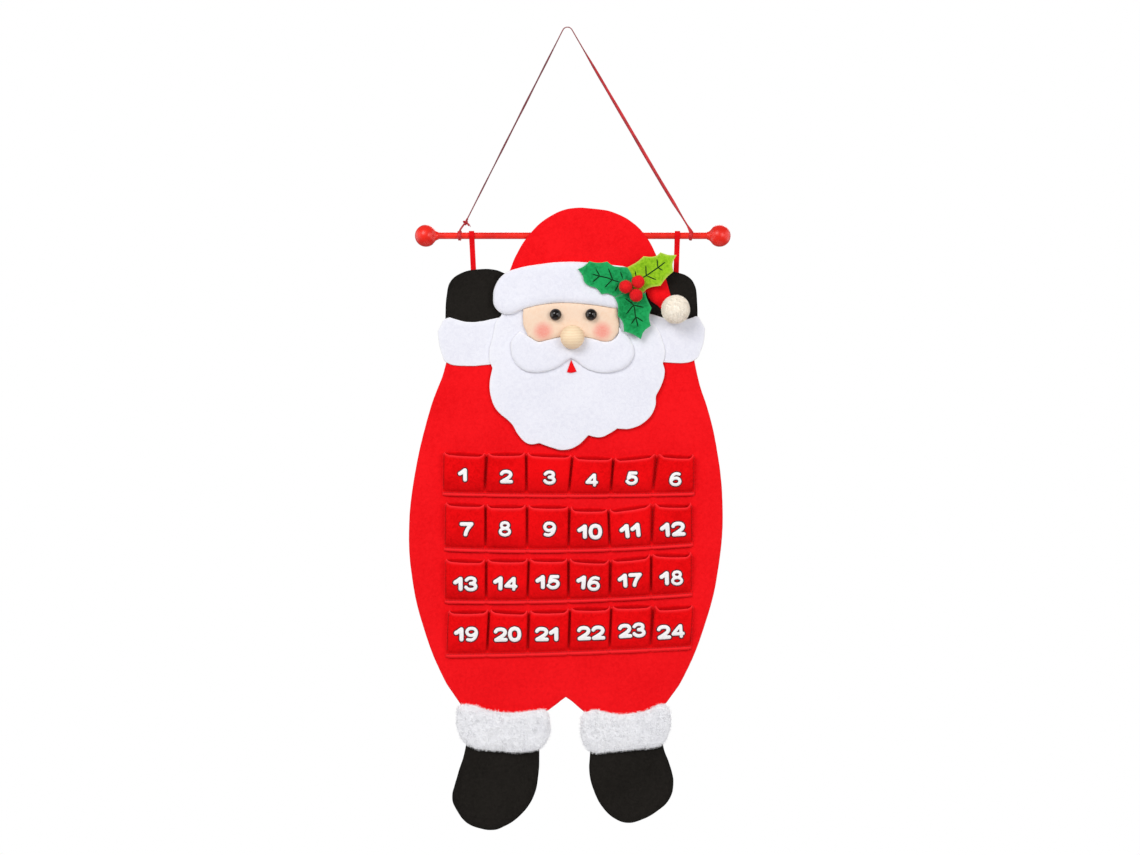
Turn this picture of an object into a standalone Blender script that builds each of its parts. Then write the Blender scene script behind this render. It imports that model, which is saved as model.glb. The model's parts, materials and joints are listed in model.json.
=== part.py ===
"""Felt advent calendar: a hanging felt figure with four rows of six pleated pockets.

The figure hangs from a wooden rod by two felt straps, and the rod hangs from one cord.
X runs to the viewer's right, Z runs up and the front of the figure faces -Y.
The origin is the top of the cord, where it lies over a hook, and the rod's axis is at y = 0.
A drop is a distance down from the rod's axis, apart from the rod's own, which is from the hook.
An outline is a list of points in shares of its piece's width and height, counted from the
piece's left edge and from its top edge, with the kind of each point: a CORNER or a SMOOTH one.
"""

import math

import bmesh
import bpy
from mathutils import Vector

# Stuff that the figure is cut from
FELT = 0.0020
GAP = 0.0003
PLUSH = 0.0070
LEAF_FELT = 0.0015
OUTLINE_STEPS = 3

CORNER = "VECTOR"
SMOOTH = "AUTO"

# Rod, its end balls and the cord that carries them
ROD_DROP = 0.2505
ROD_RADIUS = 0.0040
ROD_MIDDLE_SHARE = 0.52206
ROD_SIDES = 20
BALL_SPACING_SHARE = 0.93674
BALL_RADIUS = 0.0132
BALL_STEPS = 22
NECK_WALL = 0.0009
NECK_ROOT_SHARE = 1.02
NECK_END_SHARE = 1.23
NECK_ROOT_WALL_SHARE = 2.2
CORD_DIAMETER = 0.0025
CORD_SPACING = 0.0070
TIE_LEFT_SHARE = -0.38564
TIE_RIGHT_SHARE = 0.40267
KNOT_FROM_TIE = 0.0071
KNOT_ABOVE_ROD = 0.0158
KNOT_RADIUS = 0.0024
TAIL_LENGTH = 0.0056
TAIL_DIRECTION = (0.8, 0.1, -0.6)
TAIL_THICKNESS_SHARE = 0.85
FLARE_THICKNESS_SHARE = 1.3

# Each run of the cord's centre line, as shares of how far its end is from the hook, X and Z
CORD_LEFT_END_FROM_KNOT = (0.0015, 0.0029)
CORD_LEFT_SHARES = [
    (1.0000, 1.0000),
    (0.7934, 0.7865),
    (0.5372, 0.5220),
    (0.2810, 0.2580),
    (0.1157, 0.0876),
    (0.0438, 0.0138),
    (0.0248, 0.0039),
    (0.0000, 0.0000),
]
CORD_RIGHT_END_FROM_TIE = (-0.0039, 0.0116)
CORD_RIGHT_SHARES = [
    (0.0208, 0.0033),
    (0.0360, 0.0126),
    (0.0970, 0.0758),
    (0.2772, 0.2625),
    (0.5198, 0.5128),
    (0.7623, 0.7635),
    (1.0000, 1.0000),
]

# Straps that carry the figure on the rod
STRAP_FELT = 0.0015
STRAP_WIDTH = 0.0066
STRAP_HOLD = 0.0150
STRAP_JOIN = 0.0125
STRAP_LEFT_ACROSS_SHARE = 0.413
STRAP_RIGHT_ACROSS_SHARE = 0.624
STRAP_LEFT_LEAN_SHARE = 0.057
STRAP_RIGHT_LEAN_SHARE = -0.039
STRAP_ARC_STEPS = 12

# Backing panel: head, arms and torso in one piece of felt
BODY_LEFT_X = -0.1901
BODY_WIDTH = 0.3762
HEAD_TOP_DROP = 0.0339
HEAD_LEFT_X = -0.0702
HEAD_RIGHT_X = 0.0930
HEAD_CORNER_CUT = 0.0140
ARM_SEAM_DROP = 0.1251
BODY_HEIGHT = 0.4344
BODY_RIGHT_SIDE_SHARES = [
    (0.910, 0.000, CORNER),
    (0.910, 0.057, SMOOTH),
    (0.970, 0.249, SMOOTH),
    (1.000, 0.470, SMOOTH),
    (0.981, 0.656, SMOOTH),
    (0.953, 0.758, SMOOTH),
    (0.870, 0.939, SMOOTH),
    (0.822, 1.000, CORNER),
]
BODY_FORK_SHARES = [
    (0.523, 1.000, CORNER),
    (0.500, 0.986, CORNER),
    (0.478, 1.000, CORNER),
]
BODY_LEFT_SIDE_SHARES = [
    (0.160, 1.000, CORNER),
    (0.113, 0.938, SMOOTH),
    (0.040, 0.776, SMOOTH),
    (0.012, 0.668, SMOOTH),
    (0.000, 0.533, SMOOTH),
    (0.019, 0.369, SMOOTH),
    (0.071, 0.181, SMOOTH),
    (0.119, 0.060, SMOOTH),
    (0.121, 0.000, CORNER),
]

# Mittens, which carry the straps
MITTEN_LEFT_ACROSS_SHARE = 0.116
MITTEN_RIGHT_ACROSS_SHARE = 0.918
MITTEN_LEFT_TOP_DROP = 0.0405
MITTEN_RIGHT_TOP_DROP = 0.0411
MITTEN_LEFT_SHARES = [
    (0.000, 1.000, CORNER),
    (0.000, 0.701, SMOOTH),
    (0.022, 0.360, SMOOTH),
    (0.082, 0.170, SMOOTH),
    (0.264, 0.047, SMOOTH),
    (0.506, 0.000, SMOOTH),
    (0.807, 0.011, SMOOTH),
    (1.000, 0.085, CORNER),
    (1.000, 1.000, CORNER),
]
MITTEN_RIGHT_SHARES = [
    (0.000, 1.000, CORNER),
    (0.000, 0.022, CORNER),
    (0.188, 0.000, SMOOTH),
    (0.402, 0.007, SMOOTH),
    (0.616, 0.037, SMOOTH),
    (0.833, 0.099, SMOOTH),
    (0.955, 0.215, SMOOTH),
    (1.000, 0.407, SMOOTH),
    (1.000, 1.000, CORNER),
]

# Sleeve cuffs, which cover the seams between the mittens and the arms
SLEEVE_CUFF_LEFT_ACROSS_SHARE = 0.109
SLEEVE_CUFF_LEFT_OVER_SEAM = 0.0288
SLEEVE_CUFF_LEFT_WIDTH = 0.0776
SLEEVE_CUFF_RIGHT_ACROSS_SHARE = 0.737
SLEEVE_CUFF_RIGHT_OVER_SEAM = 0.0324
SLEEVE_CUFF_RIGHT_WIDTH = 0.0706
SLEEVE_CUFF_HEIGHT = 0.0600
SLEEVE_CUFF_LEFT_SHARES = [
    (0.003, 0.070, SMOOTH),
    (0.335, 0.116, SMOOTH),
    (0.505, 0.122, SMOOTH),
    (0.876, 0.030, SMOOTH),
    (1.000, 0.000, CORNER),
    (1.000, 0.940, CORNER),
    (0.717, 0.974, SMOOTH),
    (0.335, 1.000, SMOOTH),
    (0.045, 0.926, SMOOTH),
    (0.000, 0.840, SMOOTH),
]
SLEEVE_CUFF_RIGHT_SHARES = [
    (0.000, 0.000, CORNER),
    (0.204, 0.030, SMOOTH),
    (0.374, 0.091, SMOOTH),
    (0.578, 0.141, SMOOTH),
    (0.816, 0.121, SMOOTH),
    (0.995, 0.081, SMOOTH),
    (1.000, 0.848, SMOOTH),
    (0.918, 0.945, SMOOTH),
    (0.762, 1.000, SMOOTH),
    (0.556, 1.000, SMOOTH),
    (0.255, 0.970, SMOOTH),
    (0.000, 0.949, CORNER),
]

# Hat with its hanging tip, and the pompom on the tip
HAT_LEFT_X = -0.0720
HAT_TOP_DROP = -0.0325
HAT_WIDTH = 0.2034
HAT_HEIGHT = 0.1276
HAT_SHARES = [
    (0.000, 0.708, CORNER),
    (0.000, 0.638, SMOOTH),
    (0.014, 0.585, SMOOTH),
    (0.048, 0.450, SMOOTH),
    (0.150, 0.207, SMOOTH),
    (0.274, 0.054, SMOOTH),
    (0.375, 0.000, SMOOTH),
    (0.522, 0.006, SMOOTH),
    (0.622, 0.036, SMOOTH),
    (0.746, 0.144, SMOOTH),
    (0.827, 0.288, SMOOTH),
    (0.872, 0.423, SMOOTH),
    (0.937, 0.677, SMOOTH),
    (0.963, 0.817, SMOOTH),
    (1.000, 0.953, SMOOTH),
    (0.965, 1.000, SMOOTH),
    (0.883, 0.913, SMOOTH),
    (0.834, 0.851, SMOOTH),
    (0.820, 0.790, CORNER),
    (0.758, 0.737, SMOOTH),
    (0.546, 0.671, SMOOTH),
    (0.310, 0.661, SMOOTH),
]
POMPOM_RADIUS = 0.0176
POMPOM_ACROSS_SHARE = 0.988
POMPOM_DOWN_SHARE = 0.9545
POMPOM_SEAT_SHARE = 0.88
STITCH_UP_SHARE = 0.56

# Brim of the hat
BRIM_LEFT_X = -0.0890
BRIM_TOP_DROP = 0.0320
BRIM_WIDTH = 0.1784
BRIM_HEIGHT = 0.0628
BRIM_PLUSH = 0.0060
BRIM_SHARES = [
    (0.000, 0.683, SMOOTH),
    (0.011, 0.476, SMOOTH),
    (0.078, 0.222, SMOOTH),
    (0.178, 0.111, SMOOTH),
    (0.301, 0.048, SMOOTH),
    (0.457, 0.000, SMOOTH),
    (0.641, 0.010, SMOOTH),
    (0.798, 0.055, SMOOTH),
    (0.919, 0.136, SMOOTH),
    (0.993, 0.394, SMOOTH),
    (1.000, 0.623, SMOOTH),
    (0.919, 0.870, SMOOTH),
    (0.838, 0.885, SMOOTH),
    (0.694, 0.828, SMOOTH),
    (0.468, 0.778, SMOOTH),
    (0.334, 0.809, SMOOTH),
    (0.212, 0.889, SMOOTH),
    (0.083, 1.000, SMOOTH),
    (0.011, 0.857, SMOOTH),
]

# Beard, which also backs the brim and the face
BEARD_LEFT_X = -0.0938
BEARD_TOP_DROP = 0.0387
BEARD_WIDTH = 0.2107
BEARD_HEIGHT = 0.2185
BEARD_SHARES = [
    (0.072, 0.253, SMOOTH),
    (0.041, 0.294, SMOOTH),
    (0.025, 0.357, SMOOTH),
    (0.000, 0.494, SMOOTH),
    (0.019, 0.551, CORNER),
    (0.003, 0.630, SMOOTH),
    (0.009, 0.704, SMOOTH),
    (0.041, 0.778, SMOOTH),
    (0.128, 0.856, SMOOTH),
    (0.172, 0.925, SMOOTH),
    (0.226, 0.967, SMOOTH),
    (0.286, 0.962, CORNER),
    (0.357, 0.987, SMOOTH),
    (0.423, 1.000, SMOOTH),
    (0.499, 0.977, SMOOTH),
    (0.564, 0.919, CORNER),
    (0.629, 0.930, SMOOTH),
    (0.695, 0.903, SMOOTH),
    (0.727, 0.882, CORNER),
    (0.804, 0.882, SMOOTH),
    (0.902, 0.830, SMOOTH),
    (0.945, 0.756, SMOOTH),
    (0.948, 0.704, CORNER),
    (0.980, 0.641, SMOOTH),
    (0.998, 0.567, SMOOTH),
    (0.987, 0.526, CORNER),
    (1.000, 0.462, SMOOTH),
    (0.989, 0.410, SMOOTH),
    (0.956, 0.336, SMOOTH),
    (0.887, 0.253, SMOOTH),
    (0.858, 0.192, SMOOTH),
    (0.847, 0.121, SMOOTH),
    (0.824, 0.060, SMOOTH),
    (0.744, 0.027, SMOOTH),
    (0.573, 0.003, SMOOTH),
    (0.420, 0.000, SMOOTH),
    (0.260, 0.016, SMOOTH),
    (0.106, 0.049, SMOOTH),
    (0.061, 0.088, SMOOTH),
    (0.044, 0.154, SMOOTH),
]

# Face pad, with its eyes and nose as shares of the pad
FACE_LEFT_X = -0.0529
FACE_TOP_DROP = 0.0771
FACE_WIDTH = 0.1144
FACE_HEIGHT = 0.0528
FACE_PAD = 0.0050
FACE_SHARES = [
    (0.013, 0.000, CORNER),
    (0.000, 0.555, SMOOTH),
    (0.038, 0.761, SMOOTH),
    (0.085, 1.000, CORNER),
    (0.909, 1.000, CORNER),
    (0.943, 0.886, SMOOTH),
    (0.992, 0.745, SMOOTH),
    (1.000, 0.500, SMOOTH),
    (0.961, 0.000, CORNER),
]
EYE_RADIUS = 0.0071
EYE_DOWN_SHARE = 0.343
EYE_LEFT_ACROSS_SHARE = 0.338
EYE_RIGHT_ACROSS_SHARE = 0.709
EYE_SEAT_SHARE = 0.30
NOSE_RADIUS = 0.0144
NOSE_ACROSS_SHARE = 0.513
NOSE_DOWN_SHARE = 0.855
NOSE_SEAT_SHARE = 0.25

# Moustache and mouth
MOUSTACHE_LEFT_X = -0.0677
MOUSTACHE_TOP_DROP = 0.1101
MOUSTACHE_WIDTH = 0.1475
MOUSTACHE_HEIGHT = 0.0546
MOUSTACHE_PAD = 0.0042
MOUSTACHE_SHARES = [
    (0.071, 0.084, CORNER),
    (0.003, 0.319, SMOOTH),
    (0.000, 0.484, SMOOTH),
    (0.024, 0.721, SMOOTH),
    (0.071, 0.884, SMOOTH),
    (0.138, 0.976, SMOOTH),
    (0.219, 0.993, SMOOTH),
    (0.321, 0.938, SMOOTH),
    (0.395, 0.848, SMOOTH),
    (0.448, 0.738, SMOOTH),
    (0.489, 0.684, CORNER),
    (0.523, 0.730, SMOOTH),
    (0.601, 0.890, SMOOTH),
    (0.683, 0.976, SMOOTH),
    (0.770, 1.000, SMOOTH),
    (0.850, 0.967, SMOOTH),
    (0.932, 0.875, SMOOTH),
    (0.981, 0.723, SMOOTH),
    (1.000, 0.521, SMOOTH),
    (0.944, 0.185, SMOOTH),
    (0.876, 0.000, CORNER),
    (0.872, 0.140, SMOOTH),
    (0.832, 0.268, SMOOTH),
    (0.776, 0.319, SMOOTH),
    (0.664, 0.253, SMOOTH),
    (0.596, 0.218, SMOOTH),
    (0.491, 0.191, SMOOTH),
    (0.396, 0.218, SMOOTH),
    (0.277, 0.295, SMOOTH),
    (0.222, 0.319, SMOOTH),
    (0.162, 0.231, SMOOTH),
]
MOUTH_SHARES = [
    (0.489, 0.715, CORNER),
    (0.533, 0.970, CORNER),
    (0.491, 1.000, CORNER),
    (0.453, 0.985, CORNER),
]

# Holly sprig on the brim: each leaf is held at a share of its width and height
SPRIG_ACROSS_SHARE = 0.939
SPRIG_DOWN_SHARE = 0.506
LEAF_LEFT_HOLD_SHARE = (1.000, 0.755)
LEAF_LEFT_WIDTH = 0.0661
LEAF_LEFT_HEIGHT = 0.0428
LEAF_LEFT_SHARES = [
    (0.000, 0.224, CORNER),
    (0.110, 0.140, SMOOTH),
    (0.205, 0.000, CORNER),
    (0.370, 0.045, SMOOTH),
    (0.530, 0.010, CORNER),
    (0.640, 0.130, SMOOTH),
    (0.764, 0.162, CORNER),
    (0.893, 0.168, CORNER),
    (0.975, 0.401, CORNER),
    (1.000, 0.756, CORNER),
    (0.666, 1.000, CORNER),
    (0.540, 0.905, SMOOTH),
    (0.425, 0.925, CORNER),
    (0.330, 0.755, SMOOTH),
    (0.215, 0.700, CORNER),
    (0.120, 0.590, SMOOTH),
    (0.083, 0.401, SMOOTH),
]
LEAF_RIGHT_HOLD_SHARE = (0.120, 0.883)
LEAF_RIGHT_WIDTH = 0.0590
LEAF_RIGHT_HEIGHT = 0.0488
LEAF_RIGHT_SHARES = [
    (1.000, 0.066, CORNER),
    (0.840, 0.065, SMOOTH),
    (0.673, 0.000, CORNER),
    (0.570, 0.095, SMOOTH),
    (0.327, 0.101, CORNER),
    (0.200, 0.235, SMOOTH),
    (0.000, 0.369, CORNER),
    (0.059, 0.737, CORNER),
    (0.120, 0.958, CORNER),
    (0.309, 1.000, CORNER),
    (0.419, 0.885, SMOOTH),
    (0.673, 0.820, CORNER),
    (0.800, 0.620, SMOOTH),
    (0.935, 0.475, CORNER),
    (0.920, 0.270, SMOOTH),
]
LEAF_LOWER_HOLD_SHARE = (0.502, -0.012)
LEAF_LOWER_WIDTH = 0.0440
LEAF_LOWER_HEIGHT = 0.0601
LEAF_LOWER_SHARES = [
    (0.000, 0.174, CORNER),
    (0.085, 0.330, SMOOTH),
    (0.080, 0.537, CORNER),
    (0.215, 0.665, SMOOTH),
    (0.245, 0.850, CORNER),
    (0.480, 0.900, SMOOTH),
    (0.706, 1.000, CORNER),
    (0.790, 0.850, SMOOTH),
    (0.975, 0.735, CORNER),
    (0.935, 0.540, SMOOTH),
    (1.000, 0.377, CORNER),
    (0.900, 0.240, SMOOTH),
    (0.828, 0.092, CORNER),
    (0.510, 0.000, CORNER),
]
BERRY_RADIUS = 0.0078
BERRY_TURN_DEGREES = 51.0
BERRY_SEAT_SHARE = 0.85
BERRY_COUNT = 3

# Rows of pleated pockets
ROW_COUNT = 4
POCKETS_IN_ROW = 6
POCKET_PITCH_SHARE = 0.13184
ROWS_MIDDLE_SHARE = 0.50850
ROWS_BELOW_BEARD = 0.0040
ROW_SPACING_SHARE = 0.14894
POCKET_HEIGHT_SHARE = 0.74190
POCKET_DEPTH = 0.0080
POCKET_FELT = 0.0018
ROW_PITCH_SHARES = [1.012, 1.000, 0.994, 0.986]
ROW_SHIFT_SHARES = [0.000, 0.026, -0.002, 0.000]
ROW_RISE_SHARES = [0.002, 0.083, 0.134, 0.154]
ROW_SAG_SHARES = [0.036, 0.070, 0.056, 0.031]
# Height of each pocket's mouth above its seam, at its left and at its right corner
POCKET_MOUTH_SHARES = [
    [(0.97, 0.94), (0.97, 0.99), (0.98, 0.94), (0.91, 0.87), (0.84, 0.93), (0.93, 0.86)],
    [(1.09, 1.08), (1.06, 1.07), (1.07, 1.05), (0.98, 0.95), (0.91, 1.02), (1.01, 0.92)],
    [(1.00, 0.97), (1.01, 0.99), (1.01, 0.98), (0.98, 0.89), (0.93, 0.97), (1.02, 0.93)],
    [(1.05, 1.05), (1.07, 0.99), (1.03, 1.01), (1.07, 1.03), (1.07, 1.05), (0.97, 0.98)],
]
MOUTH_BOW_SHARE = 0.020
EAR_SHARE = 0.085
# How far the seam beside each pocket leans to the right from its foot to the mouth
SEAM_LEAN_SHARES = [
    [0.010, 0.051, -0.012, 0.098, 0.073, 0.115, 0.000],
    [0.020, 0.000, 0.000, 0.025, -0.040, 0.040, -0.020],
    [0.000, 0.005, 0.040, 0.000, 0.020, 0.010, 0.000],
    [0.050, 0.063, 0.030, 0.037, 0.050, 0.073, 0.060],
]
# Across one pocket: place along the pitch, share of the depth, and how far it leans out
PLEAT_SHARES = [
    (0.000, 0.00, 0.000),
    (0.036, 0.00, 0.000),
    (0.052, 0.32, -0.012),
    (0.058, 0.72, -0.022),
    (0.078, 0.94, -0.020),
    (0.125, 1.00, 0.000),
    (0.500, 1.06, 0.000),
    (0.875, 1.00, 0.000),
    (0.922, 0.94, 0.020),
    (0.942, 0.72, 0.022),
    (0.948, 0.32, 0.012),
    (0.964, 0.00, 0.000),
]
# Down one pocket to the hem below its seam: place along the height and share of the depth
POCKET_DOWN_SHARES = [
    (0.000, 1.00),
    (0.120, 0.99),
    (0.580, 0.86),
    (0.860, 0.42),
    (0.955, 0.00),
    (1.065, 0.12),
]

# Legs below the fold line: felt tab, plush cuff and boot
LEG_TAB_HEIGHT = 0.0356
LEG_LEFT_TAB_SHARES = [
    (0.160, 0.000, CORNER),
    (0.478, 0.000, CORNER),
    (0.440, 0.303, CORNER),
    (0.434, 1.000, CORNER),
    (0.175, 1.000, CORNER),
    (0.166, 0.140, CORNER),
]
LEG_RIGHT_TAB_SHARES = [
    (0.523, 0.000, CORNER),
    (0.822, 0.000, CORNER),
    (0.814, 0.140, CORNER),
    (0.800, 1.000, CORNER),
    (0.566, 1.000, CORNER),
    (0.558, 0.320, CORNER),
]
LEG_CUFF_LEFT_ACROSS_SHARE = 0.152
LEG_CUFF_LEFT_WIDTH = 0.1120
LEG_CUFF_RIGHT_ACROSS_SHARE = 0.546
LEG_CUFF_RIGHT_WIDTH = 0.1082
LEG_CUFF_HEIGHT = 0.0568
LEG_CUFF_DROP = 0.0020
LEG_CUFF_LEFT_SHARES = [
    (0.019, 0.051, SMOOTH),
    (0.084, 0.000, SMOOTH),
    (0.342, 0.127, SMOOTH),
    (0.601, 0.181, SMOOTH),
    (0.860, 0.127, SMOOTH),
    (0.952, 0.127, SMOOTH),
    (1.000, 0.378, SMOOTH),
    (0.988, 0.690, SMOOTH),
    (0.896, 0.926, SMOOTH),
    (0.748, 1.000, SMOOTH),
    (0.453, 0.981, SMOOTH),
    (0.103, 0.835, SMOOTH),
    (0.019, 0.586, SMOOTH),
    (0.000, 0.291, SMOOTH),
]
LEG_CUFF_RIGHT_SHARES = [
    (0.043, 0.180, SMOOTH),
    (0.435, 0.216, SMOOTH),
    (0.722, 0.142, SMOOTH),
    (0.940, 0.000, SMOOTH),
    (1.000, 0.233, SMOOTH),
    (0.979, 0.600, SMOOTH),
    (0.912, 0.837, SMOOTH),
    (0.625, 0.945, SMOOTH),
    (0.339, 1.000, SMOOTH),
    (0.110, 1.000, SMOOTH),
    (0.023, 0.782, SMOOTH),
    (0.000, 0.479, SMOOTH),
]
BOOT_LEFT_ACROSS_SHARE = 0.138
BOOT_LEFT_WIDTH = 0.1044
BOOT_LEFT_HEIGHT = 0.1174
BOOT_LEFT_SHARES = [
    (0.161, 0.000, CORNER),
    (0.159, 0.129, SMOOTH),
    (0.039, 0.507, SMOOTH),
    (0.000, 0.683, SMOOTH),
    (0.059, 0.808, SMOOTH),
    (0.159, 0.921, SMOOTH),
    (0.316, 0.983, SMOOTH),
    (0.475, 1.000, SMOOTH),
    (0.593, 0.965, SMOOTH),
    (0.771, 0.859, SMOOTH),
    (0.930, 0.666, SMOOTH),
    (0.990, 0.437, SMOOTH),
    (1.000, 0.173, SMOOTH),
    (1.000, 0.000, CORNER),
]
BOOT_RIGHT_ACROSS_SHARE = 0.575
BOOT_RIGHT_WIDTH = 0.1008
BOOT_RIGHT_HEIGHT = 0.1091
BOOT_RIGHT_SHARES = [
    (0.012, 0.000, CORNER),
    (0.010, 0.205, SMOOTH),
    (0.000, 0.451, SMOOTH),
    (0.051, 0.640, SMOOTH),
    (0.174, 0.849, SMOOTH),
    (0.338, 0.971, SMOOTH),
    (0.461, 1.000, SMOOTH),
    (0.605, 0.971, SMOOTH),
    (0.810, 0.868, SMOOTH),
    (0.954, 0.735, SMOOTH),
    (1.000, 0.564, SMOOTH),
    (0.974, 0.413, SMOOTH),
    (0.871, 0.129, SMOOTH),
    (0.865, 0.000, CORNER),
]

# Places that follow from the sizes above
PANEL_BACK = -(ROD_RADIUS - FELT)
PANEL_FRONT = PANEL_BACK - FELT
SEWN_ON = PANEL_FRONT - GAP
BEARD_BACK = SEWN_ON - FELT - GAP
HEAD_FRONT = BEARD_BACK - FELT - GAP
FOLD_DROP = ARM_SEAM_DROP + BODY_HEIGHT
ROW_SPACING = ROW_SPACING_SHARE * BODY_HEIGHT
POCKET_HEIGHT = POCKET_HEIGHT_SHARE * ROW_SPACING
POCKET_PITCH = POCKET_PITCH_SHARE * BODY_WIDTH
ROWS_MIDDLE_X = BODY_LEFT_X + ROWS_MIDDLE_SHARE * BODY_WIDTH
FIRST_SEAM_DROP = BEARD_TOP_DROP + BEARD_HEIGHT + ROWS_BELOW_BEARD + POCKET_HEIGHT
BALL_SPACING = BALL_SPACING_SHARE * BODY_WIDTH
ROD_MIDDLE_X = BODY_LEFT_X + ROD_MIDDLE_SHARE * BODY_WIDTH
TIE_LEFT_X = ROD_MIDDLE_X + TIE_LEFT_SHARE * BALL_SPACING
TIE_RIGHT_X = ROD_MIDDLE_X + TIE_RIGHT_SHARE * BALL_SPACING
KNOT_X = TIE_LEFT_X + KNOT_FROM_TIE
KNOT_DROP = ROD_DROP - KNOT_ABOVE_ROD
MITTEN_LEFT_X = BODY_LEFT_X + MITTEN_LEFT_ACROSS_SHARE * BODY_WIDTH
MITTEN_RIGHT_X = BODY_LEFT_X + MITTEN_RIGHT_ACROSS_SHARE * BODY_WIDTH
SPRIG_X = BRIM_LEFT_X + SPRIG_ACROSS_SHARE * BRIM_WIDTH
SPRIG_DROP = BRIM_TOP_DROP + SPRIG_DOWN_SHARE * BRIM_HEIGHT
UPRIGHT = (math.pi / 2, 0.0, 0.0)
SIDEWAYS = (0.0, math.pi / 2, 0.0)
CUT_OVERRUN = 0.0200


def clear_scene():
    for old in list(bpy.data.objects):
        bpy.data.objects.remove(old, do_unlink=True)


def new_collection(name):
    collection = bpy.data.collections.new(name)
    bpy.context.scene.collection.children.link(collection)
    return collection


def new_material(name, colour, roughness):
    material = bpy.data.materials.new(name)
    material.use_nodes = True
    shader = material.node_tree.nodes["Principled BSDF"]
    shader.inputs["Base Color"].default_value = (*colour, 1.0)
    shader.inputs["Roughness"].default_value = roughness
    shader.inputs["Metallic"].default_value = 0.0
    return material


clear_scene()
PARTS = new_collection("felt_advent_calendar")
CUTTERS = new_collection("cutters")

RED_FELT = new_material("red_felt", (0.93, 0.012, 0.018), 0.95)
POCKET_RED = new_material("pocket_felt", (0.70, 0.006, 0.010), 0.95)
WHITE_FELT = new_material("white_felt", (0.84, 0.84, 0.90), 0.95)
WHITE_PLUSH = new_material("white_plush", (0.80, 0.80, 0.84), 1.0)
BLACK_FELT = new_material("black_felt", (0.012, 0.011, 0.009), 0.95)
SKIN_FELT = new_material("skin_felt", (0.96, 0.71, 0.54), 0.9)
NOSE_FELT = new_material("nose_felt", (0.96, 0.75, 0.51), 0.9)
CREAM_POM = new_material("cream_pompom", (0.94, 0.82, 0.69), 1.0)
BEAD_BLACK = new_material("bead_black", (0.006, 0.006, 0.007), 0.08)
LEAF_DARK = new_material("dark_green_felt", (0.018, 0.28, 0.08), 0.9)
LEAF_LIME = new_material("lime_felt", (0.32, 0.55, 0.06), 0.9)
BERRY_RED = new_material("berry_red", (0.87, 0.016, 0.020), 0.95)
ROD_RED = new_material("painted_wood", (0.74, 0.022, 0.014), 0.35)
CORD_RED = new_material("red_cord", (0.50, 0.010, 0.018), 0.5)


def new_pivot(name, place):
    """An empty on a joint's axis, which carries the pieces that turn about it."""
    pivot = bpy.data.objects.new(name, None)
    pivot.location = place
    PARTS.objects.link(pivot)
    return pivot


def finish(piece, name, material, pivot=None):
    """Name a piece, colour it and hang it on its pivot without moving it."""
    piece.name = name
    piece.data.name = name
    piece.data.materials.clear()
    piece.data.materials.append(material)
    for collection in list(piece.users_collection):
        collection.objects.unlink(piece)
    PARTS.objects.link(piece)
    if pivot is not None:
        piece.parent = pivot
        piece.location = piece.location - pivot.location
    return piece


def as_cutter(piece):
    """Put a piece among the cutters, drawn as wire and left out of the model."""
    for collection in list(piece.users_collection):
        collection.objects.unlink(piece)
    CUTTERS.objects.link(piece)
    piece.display_type = "WIRE"
    piece.hide_render = True
    return piece


def boolean(piece, other, operation):
    modifier = piece.modifiers.new(operation.lower(), "BOOLEAN")
    modifier.operation = operation
    modifier.solver = "EXACT"
    modifier.object = other


def as_mesh(curve_object):
    """Turn a curve into a mesh whose caps are welded to its sides."""
    bpy.context.view_layer.update()
    graph = bpy.context.evaluated_depsgraph_get()
    mesh = bpy.data.meshes.new_from_object(curve_object.evaluated_get(graph))
    weld = bmesh.new()
    weld.from_mesh(mesh)
    bmesh.ops.remove_doubles(weld, verts=weld.verts, dist=GAP / 100)
    weld.to_mesh(mesh)
    weld.free()
    solid = bpy.data.objects.new(curve_object.name, mesh)
    solid.matrix_world = curve_object.matrix_world
    bpy.context.scene.collection.objects.link(solid)
    bpy.data.objects.remove(curve_object, do_unlink=True)
    return solid


def add_outline(curve, points, width, height, closed=True):
    """Add one outline to a flat curve, from points in shares of its width and height."""
    spline = curve.splines.new("BEZIER")
    spline.bezier_points.add(len(points) - 1)
    for knot, (across, down, kind) in zip(spline.bezier_points, points):
        knot.co = (across * width, -down * height, 0.0)
        knot.handle_left_type = kind
        knot.handle_right_type = kind
    spline.use_cyclic_u = closed
    spline.resolution_u = OUTLINE_STEPS


def cut_cloth(name, points, left_x, drop, width, height, back, thickness, edge=0.0, edge_steps=1):
    """A piece cut from cloth: its outline from the front, from its back face towards -Y.

    edge rounds the rim like a padded piece's, without moving the outline.
    """
    curve = bpy.data.curves.new(name, "CURVE")
    curve.dimensions = "2D"
    curve.fill_mode = "BOTH"
    curve.resolution_u = OUTLINE_STEPS
    curve.extrude = thickness / 2 - edge
    curve.bevel_depth = edge
    curve.bevel_resolution = edge_steps
    curve.offset = -edge
    add_outline(curve, points, width, height)
    cloth = bpy.data.objects.new(name, curve)
    cloth.rotation_euler = UPRIGHT
    cloth.location = (left_x, back - thickness / 2, -ROD_DROP - drop)
    bpy.context.scene.collection.objects.link(cloth)
    return cloth


def outline_cutter(name, points, left_x, drop, width, height, back):
    """A cutter with a cloth piece's outline, grown all round by the gap."""
    cutter = cut_cloth(name, points, left_x, drop, width, height, back + CUT_OVERRUN, 2 * CUT_OVERRUN)
    cutter.data.bevel_depth = GAP
    cutter.data.bevel_resolution = 0
    return as_cutter(as_mesh(cutter))


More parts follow.
